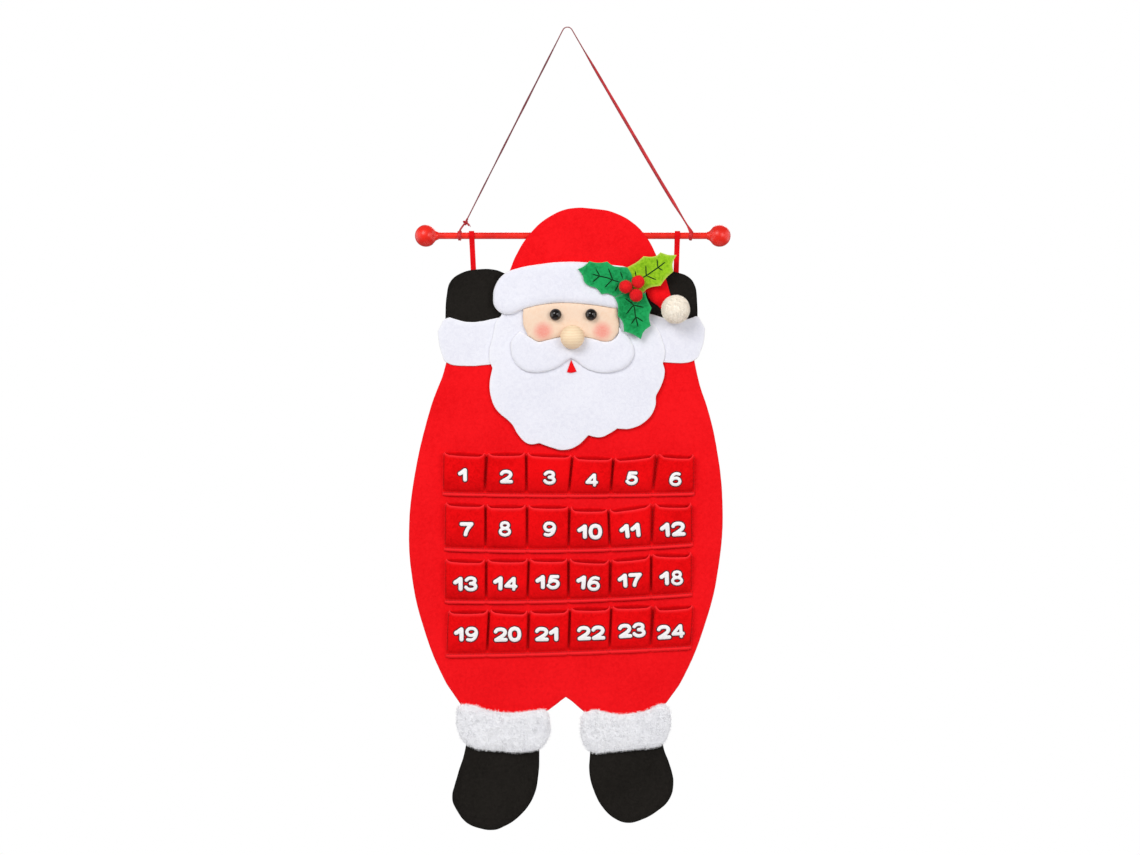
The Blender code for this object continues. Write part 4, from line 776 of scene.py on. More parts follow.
def make_cut_piece(name, node, material, slot, body="figure", form=None, step=0.0025, spacing=0.006,
                   insets=None):
    thick = back_of(node) - front_of(node)
    loop = roughen(smooth_outline(front_outline(node), step))
    fold = FOLD_LINE if body == "figure" else FOLD_LINE - FOLD_GAP
    loop[:, 1] = np.where(np.abs(loop[:, 1] - FOLD_LINE) < 0.0005, fold, loop[:, 1])
    insets = insets or (0.08 * thick, 0.22 * thick, 0.5 * thick)
    net = cut_net([loop], insets, spacing, at_fold)
    points, faces, rim = solid_from_net(net, back_of(node), form or flat_form(thick))
    piece = add_piece(name, points, faces, material, body, slot, [node], rim=rim)
    print(name, len(points), "points,", np.round(np.ptp(loop, axis=0) * 1000).astype(int).tolist(), "mm")
    return piece, loop


def cut_sheet(node, material, slot, held="hung", rests_on=("body_panel",), body="figure", name=None, **cut):
    """A flat sheet, cut along its node's outline. What it rests on is not used."""
    piece, loop = make_cut_piece(name or f"{node}_felt", node, material, slot, body, **cut)
    size = np.ptp(loop, axis=0)
    area_of(loop)


def stuff_piece(name, node, material, slot, fill, form, body="figure", **cut):
    """A stuffed piece; fill, from 0 to 1, is not used."""
    piece, _ = make_cut_piece(name, node, material, slot, body, form, **cut)

# %% [markdown]
# The body is the backing sheet of 2 mm red felt: arms, torso and the backing of the head in one piece.
# It is the lowest layer, and everything else is sewn to it. The hat is a second sheet in front of it, and
# its tip hangs over to the right, where it is bunched and tied, so there the felt is puffed and folded.

# %% Body sheet and hat
cut_sheet("body_panel", RED_FELT, "red_felt", rests_on=(), name="body_felt")

TIP = np.array((0.108, -0.3225))


def hat_form(points, distance):
    thick = back_of("hat") - front_of("hat")
    front, back = flat_form(thick)(points, distance)
    away = points - TIP
    near = np.exp(-(away ** 2).sum(axis=1) / 0.0125 ** 2)
    folds = np.array([noise.noise(Vector((x * 170 + z * 60, 1.0, z * 80))) for x, z in points])
    puff = near * (0.0046 + 0.0056 * folds) * rounded(distance, 0.006)
    return front + np.maximum(puff, 0), back


cut_sheet("hat", RED_FELT, "red_felt", "stretched", form=hat_form, spacing=0.0035)

# %% [markdown]
# Mittens are plain black felt, each cut in one piece with its thumb and sewn on between the body's sheet
# and the strap. They are not stuffed. Simulated cloth would only hang flat again, so they are cut as
# nets, like the body.

# %% Mittens
for side in ("left", "right"):
    cut_sheet(f"mitten_{side}", BLACK_FELT, "black_felt", spacing=0.004)

# %% [markdown]
# Each strap is one strip of red felt that comes up from behind the mitten, goes over the rod and comes
# down again behind itself. It is swept along a line that follows the rod's roundness, and it rides on
# the figure, so it keeps its place on the rod at every pose.

# %% Straps over the rod
STRAP_THICK = 0.0015
STRAP_HALF_WIDTH = 0.0032
STRAP_TURN = 0.00505
STRAP_MIDDLE_Y = -0.0002
STRIP_SIDES = 20


def strip_mesh(line, half_width, thick, sides_out, round_off=0.3):
    """A flat strip swept along a line, with its outward direction at each point."""
    section = [(math.copysign(abs(c) ** round_off, c), math.copysign(abs(s) ** round_off, s))
               for c, s in steps_round(STRIP_SIDES)]
    points = [place + Vector((1, 0, 0)) * (half_width * a) + out * (thick / 2 * b)
              for place, out in zip(line, sides_out) for a, b in section]
    return points, [face[::-1] for face in loft_faces(len(line), STRIP_SIDES)]


for side in ("left", "right"):
    low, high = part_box(f"strap_{side}")
    top_x, foot_x = (high.x - 0.0035, low.x + 0.0035) if side == "right" else (low.x + 0.0035, high.x - 0.0035)
    profile = [(STRAP_MIDDLE_Y + 0.5 * STRAP_THICK, low.z + 0.0002)]
    profile += [(STRAP_MIDDLE_Y + 0.5 * STRAP_THICK, ROD_AXIS_Z - d) for d in (0.035, 0.022, 0.014)]
    for step in range(19):
        angle = math.radians(-25 + 230 * step / 18)
        profile.append((STRAP_TURN * math.cos(angle), ROD_AXIS_Z + STRAP_TURN * math.sin(angle)))
    profile += [(STRAP_MIDDLE_Y - 0.5 * STRAP_THICK, ROD_AXIS_Z - d) for d in (0.014, 0.022, 0.035)]
    profile.append((STRAP_MIDDLE_Y - 0.5 * STRAP_THICK, low.z + 0.0002))
    path = smooth_line(profile, 0.0009)
    run = np.gradient(path, axis=0)
    run /= np.linalg.norm(run, axis=1)[:, None]
    lean = (foot_x - top_x) / (high.z - low.z)
    line = [Vector((top_x + lean * (high.z - z), y, z)) for y, z in path]
    out = [Vector((0, dz, -dy)) for dy, dz in run]
    piece = add_piece(f"strap_{side}_felt", *strip_mesh(line, STRAP_HALF_WIDTH, STRAP_THICK * 0.96, out),
                      STRAP_FELT, "figure", "red_felt", [f"strap_{side}"])
    print(f"strap {side}:", round(0.9 * (len(path) - 1)), "mm long")

# %% [markdown]
# The white trimmings are a softer felt. Sleeve cuffs and beard are cut flat; the brim, the face and the
# moustache are stuffed a little, so they stand off in a dome and throw a soft shadow on what is below.

# %% Sleeve cuffs and beard
for side in ("left", "right"):
    cut_sheet(f"sleeve_cuff_{side}", WHITE_FELT, "white_felt")
cut_sheet("beard", WHITE_FELT, "white_felt")

# %% [markdown]
# Brim and moustache hold a thin layer of wadding. Their front rises in a dome that depends on the
# distance from the edge, and slow noise gives the soft lumps of a filling pushed in by hand. A
# simulation of wadding would give the same dome, but would move the outline.

# %% Brim and moustache, lightly stuffed
stuff_piece("hat_brim_pad", "hat_brim", WHITE_FELT, "white_plush", 0.5, pad_form(0.0060, 0.0085, 0.35, 0.0008, 45.0),
            spacing=0.004, insets=(0.0003, 0.001, 0.0024, 0.0045))
stuff_piece("moustache_pad", "moustache", WHITE_FELT, "white_felt", 0.4, pad_form(0.0042, 0.0065, 0.4, 0.0005, 50.0),
            spacing=0.0035, insets=(0.0003, 0.001, 0.0022, 0.004))

# %% [markdown]
# The face is skin-coloured felt with two cheeks rubbed in with pink powder. Powder has no edge, so each
# cheek is a soft round cloud in the material, set by its distance from the middle of the cheek.

# %% Face with powdered cheeks
SKIN_FELT = felt("felt_skin", (0.89, 0.69, 0.54), (0.86, 0.60, 0.43), (1.0, 0.80, 0.66), 0.5, 0.08, 0.0004)
tree = SKIN_FELT.node_tree
shader = tree.nodes["Principled BSDF"]
skin = shader.inputs["Base Color"].links[0].from_socket
place = tree.nodes.new("ShaderNodeSeparateXYZ")
tree.links.new(own_coordinates(tree), place.inputs[0])
for cheek_x, cheek_z in ((-0.0290, -0.3655), (0.0415, -0.3655)):
    dx = calculate(tree, "SUBTRACT", place.outputs[0], cheek_x)
    dz = calculate(tree, "SUBTRACT", place.outputs[2], cheek_z)
    far = calculate(tree, "SQRT", weigh(tree, dx, dx, dz, dz), 0.0)
    powder = spread(tree, far, 0.003, 0.0155, 0.75, 0.0)
    crumbs = spread(tree, cloud(tree, own_coordinates(tree), 500.0), 0.2, 0.6, 0.6, 1.0)
    patchy = calculate(tree, "MULTIPLY", powder, crumbs)
    skin = blend_colours(tree, patchy, skin, (0.86, 0.22, 0.19))
colour_with(tree, shader, skin)
stuff_piece("face_pad", "face", SKIN_FELT, "skin_felt", 0.5, pad_form(0.0050, 0.0090, 0.45, 0.0004, 40.0),
            spacing=0.0035, insets=(0.0003, 0.001, 0.0024, 0.0045))
cut_sheet("mouth", RED_FELT, "red_felt", "stretched", ["moustache"], step=0.0012, spacing=0.002)

# %% [markdown]
# Pocket strips. Each is one strip of felt, pleated into six pockets: it lies flat at the seams, turns
# sharply up into a pocket's side, runs across the front and turns down again. Towards the seam below,
# the pleat dies away. The same shares of width and height as in the CAD place the folds; here the
# profile is a smooth curve, so that the felt bends and never creases like card.

# %% The pleats' tables, as shares of pitch, height and depth
SEWN_ON = -0.0043
POCKET_THICK = 0.0018
POCKET_DEPTH = 0.0080
POCKET_PITCH = 0.0496
POCKET_HEIGHT = 0.0480
ROW_SPACING = 0.0647
ROWS_MIDDLE_X = 0.0012
SEAM_DROP = 0.3092
ROW_PITCH = [1.012, 1.000, 0.994, 0.986]
ROW_SHIFT = [0.0, 0.026, -0.002, 0.0]
ROW_RISE = [0.002, 0.083, 0.134, 0.154]
ROW_SAG = [0.036, 0.070, 0.056, 0.031]
EAR = 0.075
EAR_PEAK = 0.035
EAR_FADE = 0.12
MOUTH_BOW = 0.020
RIM_HIGHLIGHT_WIDTH = 0.0016
RIDGE_HIGHLIGHT_WIDTH = 0.0014
SEAM_AT = .955
MOUTHS = [
    [(.97, .94), (.97, .99), (.98, .94), (.91, .87), (.84, .93), (.93, .86)],
    [(1.09, 1.08), (1.06, 1.07), (1.07, 1.05), (.98, .95), (.91, 1.02), (1.01, .92)],
    [(1.00, .97), (1.01, .99), (1.01, .98), (.98, .89), (.93, .97), (1.02, .93)],
    [(1.05, 1.05), (1.07, .99), (1.03, 1.01), (1.07, 1.03), (1.07, 1.05), (.97, .98)]]
LEANS = [
    [.010, .051, -.012, .098, .073, .115, 0], [.020, 0, 0, .025, -.040, .040, -.020],
    [0, .005, .040, 0, .020, .010, 0], [.050, .063, .030, .037, .050, .073, .060]]
PLEAT = [(0, 0, 0), (.020, 0, 0), (.038, .32, -.010), (.044, .72, -.018), (.064, .94, -.016), (.115, 1, 0),
         (.30, 1.04, 0), (.5, 1.06, 0), (.70, 1.04, 0), (.885, 1, 0), (.936, .94, .016), (.956, .72, .018),
         (.962, .32, .010), (.980, 0, 0), (1, 0, 0)]
DOWN = [(0, 1), (.12, .99), (.58, .86), (.86, .42), (SEAM_AT, .0), (1.04, .12)]
OPENINGS = [
    [0, .032, .010, .014, .010, .060, 0], [0, .010, .016, .014, .010, .052, 0],
    [0, .016, .010, .016, .028, .014, 0], [0, .012, .026, .012, .012, .048, 0]]

profile = smooth_line([(a * POCKET_PITCH, s * POCKET_DEPTH, l * POCKET_PITCH) for a, s, l in PLEAT], 0.0010)
profile[:, 1] = np.maximum(profile[:, 1], 0.0)
PLEAT_ACROSS, PLEAT_STAND, PLEAT_LEAN = (profile / (POCKET_PITCH, POCKET_DEPTH, POCKET_PITCH)).T
down_curve = smooth_line([(d * POCKET_HEIGHT, s * POCKET_DEPTH) for d, s in DOWN], 0.0018)
DOWN_AT, DOWN_DEPTH = (down_curve / (POCKET_HEIGHT, POCKET_DEPTH)).T
print("one pocket:", len(PLEAT_ACROSS), "points across,", len(DOWN_AT), "down")

# %% [markdown]
# One strip is one grid of points. The tables give its place at each step along and down, and slow noise
# makes each pocket a little different. A second face behind it and a rounded edge give the felt its
# thickness. Simulated cloth would blur the pleats, which are pressed and sewn here.

# %% Sewing one strip
def pocket_surface(row):
    """The outer surface of a strip: a grid of points, down the strip by along it, with painted highlight and painted
    shade for each point.
    """
    length = 6 * POCKET_PITCH * ROW_PITCH[row]
    mouths, leans, opened = MOUTHS[row], LEANS[row], OPENINGS[row]
    grid, painted_highlight, dark = [], [], []
    for down, depth in zip(DOWN_AT, DOWN_DEPTH):
        line = []
        for pocket in range(6):
            last = len(PLEAT_ACROSS) if pocket == 5 else len(PLEAT_ACROSS) - 1
            left, right = mouths[pocket]
            before = (mouths[max(pocket - 1, 0)][1] + left) / 2 + EAR
            after = (mouths[min(pocket + 1, 5)][0] + right) / 2 + EAR
            for across, stand, lean_out in zip(PLEAT_ACROSS[:last], PLEAT_STAND[:last], PLEAT_LEAN[:last]):
                front = left + (right - left) * across - MOUTH_BOW * math.sin(math.pi * across)
                ear = before if across < 0.5 else after
                inwards = min(across, 1 - across)
                raised = max(0.0, 1 - (inwards - EAR_PEAK) / EAR_FADE) ** 2
                if inwards < EAR_PEAK:
                    raised = 0.35 + 0.65 * inwards / EAR_PEAK
                top = front + (ear - front) * raised
                lean = leans[pocket] + (leans[pocket + 1] - leans[pocket]) * across
                beside_left, beside_right = max(0, 1 - across / 0.4), max(0, (across - 0.6) / 0.4)
                gape = opened[pocket] * beside_left - opened[pocket + 1] * beside_right
                gape = gape * min(stand, 1.0) * max(0, 1 - down)
                along = (pocket + across + lean * (1 - down) + lean_out * depth + gape) / 6
                kept = min(max(along, 0.0), 1.0)
                drop = (SEAM_DROP + (row + ROW_SHIFT[row]) * ROW_SPACING - ROW_RISE[row] * ROW_SPACING * kept
                        + ROW_SAG[row] * ROW_SPACING * 4 * kept * (1 - kept))
                x = ROWS_MIDDLE_X - length / 2 + along * length
                z = (1 - down) * (top if down < 1 else 1.0) * POCKET_HEIGHT + ROD_AXIS_Z - drop
                soft = noise.noise(Vector((x * 42, row * 3.7, z * 42))) * 0.0011
                soft += noise.noise(Vector((x * 110, row * 5.1, z * 85))) * 0.0005
                y = SEWN_ON - POCKET_THICK - POCKET_DEPTH * stand * depth - soft * stand * math.sqrt(max(depth, 0))
                line.append((x, y + float(sway(x, z)), z))
                # Painted highlight along the mouth rim and the hem ridge; painted shade in the valleys between
                # pockets and low on each front.
                mouth_rim_highlight = math.exp(-(down * POCKET_HEIGHT / RIM_HIGHLIGHT_WIDTH) ** 2)
                ridge_highlight = math.exp(-((down - 1.0) * POCKET_HEIGHT / RIDGE_HIGHLIGHT_WIDTH) ** 2)
                painted_highlight.append(min(1.0, 0.9 * mouth_rim_highlight + 0.85 * ridge_highlight))
                valley_shade = max(0.0, 1 - stand / 0.9) * min(1.0, depth * 1.5) if 0.02 < along * 6 < 5.98 else 0.0
                low_front_shade = max(0.0, (down - 0.45) / 0.5) * min(stand, 1.0) * (1 - ridge_highlight) * 0.16
                dark.append(min(0.9, 0.5 * valley_shade * (1 - mouth_rim_highlight) + low_front_shade))
        grid.append(line)
    return np.array(grid), painted_highlight, dark


def thick_strip(grid, thick):
    """A closed strip of felt behind a grid of points, with softly rounded edges."""
    rows, columns, _ = grid.shape
    along, down = np.gradient(grid, axis=1), np.gradient(grid, axis=0)
    normal = np.cross(along, down)
    normal /= np.linalg.norm(normal, axis=2)[:, :, None]
    if normal[:, :, 1].mean() > 0:
        normal = -normal
    back = grid - normal * thick
    back[:, :, 1] = np.minimum(back[:, :, 1], SEWN_ON + 0.0002 + sway(back[:, :, 0], back[:, :, 2]))
    points = list(grid.reshape(-1, 3)) + list(back.reshape(-1, 3))
    shift = rows * columns
    faces = []
    for i in range(rows - 1):
        for j in range(columns - 1):
            a, b, c, d = i * columns + j, i * columns + j + 1, (i + 1) * columns + j + 1, (i + 1) * columns + j
            faces.append((a, d, c, b))
            faces.append((a + shift, b + shift, c + shift, d + shift))
    rim = list(range(columns)) + [i * columns + columns - 1 for i in range(1, rows)]
    rim += [(rows - 1) * columns + j for j in range(columns - 2, -1, -1)]
    rim += [i * columns for i in range(rows - 2, 0, -1)]
    number = {}
    for k in rim:
        i, j = divmod(k, columns)
        out = np.zeros(3)
        for at_edge, way in ((i == 0, -down[i, j]), (i == rows - 1, down[i, j]),
                             (j == 0, -along[i, j]), (j == columns - 1, along[i, j])):
            if at_edge:
                out += way / np.linalg.norm(way)
        out /= np.linalg.norm(out)
        number[k] = len(points)
        points.append((np.array(points[k]) + np.array(points[k + shift])) / 2 + out * thick * 0.3)
    for a, b in zip(rim, rim[1:] + rim[:1]):
        faces.append((a, b, number[b], number[a]))
        faces.append((number[a], number[b], b + shift, a + shift))
    return points, faces


row_pieces, row_grids = [], []
for row in range(4):
    grid, painted_highlight, dark = pocket_surface(row)
    points, faces = thick_strip(grid, POCKET_THICK)
    inside = len(points) - 2 * len(painted_highlight)
    # Painted highlight on the front and the rounded edge, none on the back; painted shade on the front, and some on
    # the back.
    strip = add_piece(f"pocket_strip_{row + 1}", points, faces, POCKET_FELT, "figure", "pocket_felt",
                      [f"pocket_row_{row + 1}"], rim=painted_highlight + [0.0] * len(painted_highlight) + [1.0] * inside,
                      shade=dark + [0.6] * len(dark) + [0.0] * inside)
    row_grids.append(grid)
    row_pieces.append(strip)

# %% [markdown]
# Legs, boots and plush cuffs ride on the two folding legs. The leg's felt meets the body's at the fold
# line without a rounded edge there, since it is one sheet that only bends.

# %% Legs and boots
for side in ("left", "right"):
    cut_sheet(f"leg_{side}", RED_FELT, "red_felt", rests_on=(), body=f"{side}_leg")
    cut_sheet(f"boot_{side}", BLACK_FELT, "black_felt", rests_on=(), body=f"{side}_leg")

# %% [markdown]
# The cuffs are plush over wadding. The padded body is made here, a little rough, and the hairs of the
# plush follow later, when all the pieces that they grow on are in place.

# %% Plush cuffs on the legs
PLUSH = felt("plush_white", (0.93, 0.93, 0.95), (0.82, 0.82, 0.86), (0.97, 0.97, 0.98), 0.8, 0.2, 0.0010)
for side in ("left", "right"):
    node = f"leg_cuff_{side}"
    stuff_piece(f"{node}_plush", node, PLUSH, "white_plush", 0.5, pad_form(0.0070, 0.0120, 0.3, 0.0012, 70.0),
                f"{side}_leg", spacing=0.004, insets=(0.0004, 0.0012, 0.003, 0.006))

# %% [markdown]
# Holly: three leaves of thin felt, with the veins sewn in dark thread, and three berries of felted
# wool. Eyes are glass-like beads, the nose is a bare wooden ball whose rings show.

# %% Leaves
for side, cloth, slot in (("left", GREEN_FELT, "dark_green_felt"), ("lower", GREEN_FELT, "dark_green_felt"),
                          ("right", LIME_FELT, "lime_felt")):
    cut_sheet(f"holly_leaf_{side}", cloth, slot, "stretched", ["hat_brim"], step=0.0015, spacing=0.0025)

# %% [markdown]
# All balls are spheres in the boxes of their solids. Noise along the radius makes wool uneven, and the
# beads and the nose stay round. What tells them apart is the finish: dull fibres, a sharp highlight,
# or rings of wood about the axis that points at the viewer.

# %% Balls: berries, eyes and nose
def ball_mesh(centre, radius, rings=28, segments=44, lumps=0.0, scale=200.0):
    points, faces = [], []
    for i in range(rings + 1):
        for k in range(segments):
            a, b = math.pi * i / rings, 2 * math.pi * k / segments
            way = Vector((math.sin(a) * math.cos(b), -math.cos(a), math.sin(a) * math.sin(b)))
            place = Vector(centre) + way * radius
            points.append(place + way * (lumps * noise.noise(place * scale)))
            if i in (0, rings):
                break
    for i in range(rings):
        start, after = 1 + (i - 1) * segments, 1 + i * segments
        for k in range(segments):
            m = (k + 1) % segments
            if i == 0:
                faces.append((0, after + k, after + m))
            elif i == rings - 1:
                faces.append((start + m, start + k, after))
            else:
                faces.append((start + m, start + k, after + k, after + m))
    return points, faces


def ball_in(node):
    """Centre and radius of the ball that stands at the front of a node's box and is as wide as it."""
    low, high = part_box(node)
    radius = (high.x - low.x) / 2
    return ((low.x + high.x) / 2, low.y + radius, (low.z + high.z) / 2), radius


BERRY_FELT = felt("felt_berry", (0.88, 0.016, 0.020), (0.62, 0.006, 0.010), (1.0, 0.12, 0.12), 0.7, 0.3, 0.0008)
for number in (1, 2, 3):
    ball = ball_mesh(*ball_in(f"berry_{number}"), lumps=0.0004)
    add_piece(f"berry_{number}_wool", *ball, BERRY_FELT, "figure", "berry_red", [f"berry_{number}"])

bead = speckled("bead_black", (0.003, 0.002, 0.002), (0.010, 0.006, 0.005), (300.0, 3.0), Roughness=0.10, IOR=1.45)
for side in ("left", "right"):
    node = f"eye_{side}"
    add_piece(f"{node}_bead", *ball_mesh(*ball_in(node)), bead, "figure", "bead_black", [node])

nose_wood, tree, shader = new_material("nose_wood", Roughness=0.55)
where = own_coordinates(tree)
ring_wave = add_node(tree, "ShaderNodeTexWave", Vector=where, Scale=95.0, Distortion=2.2, Detail=2.0)
ring_wave.wave_type = "RINGS"
ring_wave.rings_direction = "Y"
grain = cloud(tree, where, 600.0, 4.0)
rings_seen = spread(tree, ring_wave.outputs["Fac"], 0.2, 0.9, 0.0, 0.35)
tone = blend_colours(tree, rings_seen, (0.93, 0.72, 0.48), (0.80, 0.53, 0.30))
tone = blend_colours(tree, spread(tree, grain, 0.5, 0.75, 0.0, 0.3), tone, (1.0, 0.83, 0.62))
colour_with(tree, shader, tone)
raise_grain(tree, shader, grain, 0.0002, 0.5)
add_piece("nose_ball", *ball_mesh(*ball_in("nose"), 36, 56), nose_wood, "figure", "nose_felt", ["nose"])
print("balls:", [round(ball_in(node)[1] * 1000, 1) for node in ("berry_1", "eye_left", "nose")], "mm in radius")

# %% [markdown]
# The pompom is wool yarn, wound, cut and clipped to a ball. Thousands of hairs could be grown on one
# point, but nobody sees their roots. So its heart is a ball that is smaller by the height of the pile,
# and short tufts grow on it at the end.

# %% Pompom core
PILE_ROOM = 0.0016
centre, radius = ball_in("pompom")
POM_WOOL = felt("wool_cream", (1.0, 0.95, 0.86), (0.98, 0.90, 0.79), (1.0, 0.98, 0.94), 0.5, 0.6, 0.0003)
pom_core = add_piece("pompom_wool", *ball_mesh(centre, radius - PILE_ROOM, lumps=0.0004, scale=120.0),
                     POM_WOOL, "pompom", "cream_pompom", ["pompom"])

# %% [markdown]
# The rod and its end knobs are turned wood under glossy paint. Turning leaves faint rings, and thick
# paint pools a little, so the radius wavers by a few hundredths of a millimetre.

# %% Painted wood
painted, tree, shader = new_material("painted_wood_red", Roughness=0.34, Specular_IOR_Level=0.34,
                                     Coat_Weight=0.15, Coat_Roughness=0.25)
where = own_coordinates(tree)
streaks = add_node(tree, "ShaderNodeMapping", Vector=where, Scale=(0.12, 1.0, 1.0))
grain = cloud(tree, streaks.outputs["Vector"], 900.0, 3.0)
pooled = cloud(tree, where, 60.0, 2.0)
tone = blend_colours(tree, spread(tree, pooled, 0.3, 0.7), (0.72, 0.010, 0.003), (0.92, 0.018, 0.006))
tone = blend_colours(tree, spread(tree, grain, 0.55, 0.8, 0.0, 0.2), tone, (0.95, 0.06, 0.03))
colour_with(tree, shader, tone)
raise_grain(tree, shader, calculate(tree, "ADD", calculate(tree, "MULTIPLY", grain, 0.3), pooled), 0.0001, 0.02)

# %% [markdown]
# On a lathe, a profile is spun about an axis, and that is how the mesh is made too. The neck of a knob
# ends in a tube that fits over the rod's end, so the two overlap as glued parts do.

# %% The rod and its two knobs, turned about the rod's axis
def turned_mesh(profile, segments=48, wobble=0.00004):
    """A solid of revolution about the rod; the profile runs from one end to the other as (x, radius)."""
    points = []
    for x, radius in profile:
        for c, s in steps_round(segments):
            r = radius + wobble * noise.noise(Vector((x * 160, c * 2, s * 2)))
            points.append((x, r * c, ROD_AXIS_Z + r * s))
    return points, [face[::-1] for face in loft_faces(len(profile), segments)]


low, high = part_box("rod")
stations = np.linspace(low.x, high.x, 180)
rod_profile = [(low.x, 0.0032)] + [(x, 0.0040) for x in stations[1:-1]] + [(high.x, 0.0032)]
add_piece("rod_turned", *turned_mesh(rod_profile), painted, "rod", "painted_wood", ["rod"])

BALL_RADIUS = 0.0132
for side, way in (("left", -1), ("right", 1)):
    low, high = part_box(f"end_ball_{side}")
    centre = high.x - BALL_RADIUS if way > 0 else low.x + BALL_RADIUS
    angles = np.radians(np.linspace(2, 126, 40))
    outline = [(BALL_RADIUS * math.cos(a), BALL_RADIUS * math.sin(a)) for a in angles]
    outline += [(-0.0094, 0.0088), (-0.0108, 0.0071), (-0.0121, 0.0058), (-0.0133, 0.0051), (-0.0146, 0.0047),
                (-0.0152, 0.0045), (-0.01522, 0.0041), (-0.0080, 0.0041), (-0.0004, 0.0041), (0.0, 0.0040)]
    knob = [(centre + way * x, r) for x, r in outline]
    add_piece(f"end_ball_{side}_turned", *turned_mesh(knob if way < 0 else knob[::-1], 56), painted, "rod",
              "painted_wood", [f"end_ball_{side}"])
print("rod and knobs turned")

# %% [markdown]
# Numbers 1 to 24 are thick white puff print, one on each pocket: broad round strokes that swell in the
# middle, with painted shadow, a thin dark line, where the print meets the felt. Each digit is drawn as a brush
# stroke.
# The shape is everything that lies within half a stroke of the line. Then it is wrapped on the pocket.

# %% Strokes of the ten digits, in units of the digit's height
DIGITS = {
    "0": (0.94, 0.126, [
        [(.47, .88), (.25, .79), (.16, .5), (.25, .21), (.47, .12), (.69, .21), (.78, .5), (.69, .79),
         (.47, .88)]]),
    "1": (0.73, 0.136, [
        [(.15, .59), (.31, .69), (.48, .82)],
        [(.5, .82), (.5, .17)]]),
    "2": (0.96, 0.122, [
        [(.17, .7), (.27, .81), (.47, .85), (.7, .8), (.79, .65), (.7, .48), (.45, .31), (.18, .16)],
        [(.18, .155), (.82, .155)]]),
    "3": (0.92, 0.113, [
        [(.17, .74), (.31, .85), (.52, .875), (.7, .8), (.72, .65), (.6, .55), (.44, .52)],
        [(.44, .52), (.63, .49), (.77, .37), (.75, .23), (.6, .14), (.42, .125), (.26, .17), (.14, .28)]]),
    "4": (0.94, 0.108, [
        [(.67, .84), (.67, .15)],
        [(.62, .84), (.38, .6), (.15, .34)],
        [(.15, .335), (.8, .335)]]),
    "5": (0.92, 0.113, [
        [(.76, .85), (.34, .85)],
        [(.34, .85), (.24, .5)],
        [(.24, .5), (.42, .59), (.62, .58), (.76, .48), (.77, .32), (.65, .18), (.45, .13), (.28, .17),
         (.15, .28)]]),
    "6": (0.92, 0.105, [
        [(.72, .84), (.5, .87), (.29, .76), (.16, .5), (.17, .28), (.3, .14), (.5, .11), (.68, .17),
         (.77, .33), (.7, .5), (.52, .575), (.33, .53), (.19, .42)]]),
    "7": (0.88, 0.124, [
        [(.14, .84), (.78, .84)],
        [(.78, .84), (.58, .6), (.44, .34), (.39, .17)]]),
    "8": (0.92, 0.096, [
        [(.46, .9), (.29, .845), (.23, .72), (.3, .59), (.46, .53), (.62, .59), (.69, .72), (.63, .845),
         (.46, .9)],
        [(.46, .53), (.24, .46), (.16, .31), (.25, .16), (.46, .1), (.67, .16), (.76, .31), (.68, .46),
         (.46, .53)]]),
    "9": (0.92, 0.105, [
        [(.2, .16), (.42, .13), (.63, .24), (.76, .5), (.75, .72), (.62, .86), (.42, .89), (.24, .83),
         (.15, .67), (.22, .5), (.4, .425), (.59, .47), (.73, .58)]])}
DIGIT_HEIGHT = 0.0184
ROW_DIGIT_SCALE = [0.95, 1.02, 1.00, 1.00]
DIGIT_SPACE = -0.03
NUMBER_PLACES = [
    [(-124.8, -537.3), (-73.3, -539.4), (-21.5, -540.5), (28.9, -543.4), (76.6, -541.2), (129.0, -542.3)],
    [(-121.0, -602.4), (-74.8, -601.7), (-21.5, -602.4), (26.8, -605.1), (75.3, -604.0), (125.8, -602.4)],
    [(-122.0, -667.5), (-74.1, -667.1), (-23.7, -665.4), (25.0, -666.4), (74.3, -663.4), (124.5, -660.6)],
    [(-121.0, -727.9), (-71.7, -727.9), (-24.4, -727.7), (28.1, -726.3), (76.8, -723.3), (123.4, -724.7)]]
NUMBER_TILTS = {9: -3.0, 11: 6.0, 12: 4.0, 14: -2.0, 16: -5.0, 17: 3.0, 18: 2.0, 20: 1.5, 22: 2.0, 23: 4.0,
                24: 4.0}

# %% [markdown]
# A brush of half a stroke's radius is drawn along each line. On a grid of distances from the line, the
# outline runs where the distance is just that radius. It is walked triangle by triangle, since a
# triangle can be crossed in one way only, and is then smoothed.

# %% From strokes to outlines
def stroke_segments(strokes):
    pairs = []
    for stroke in strokes:
        line = smooth_line(stroke, 0.03) if len(stroke) > 2 else np.array(stroke, float)
        pairs += list(zip(line, line[1:]))
    return pairs


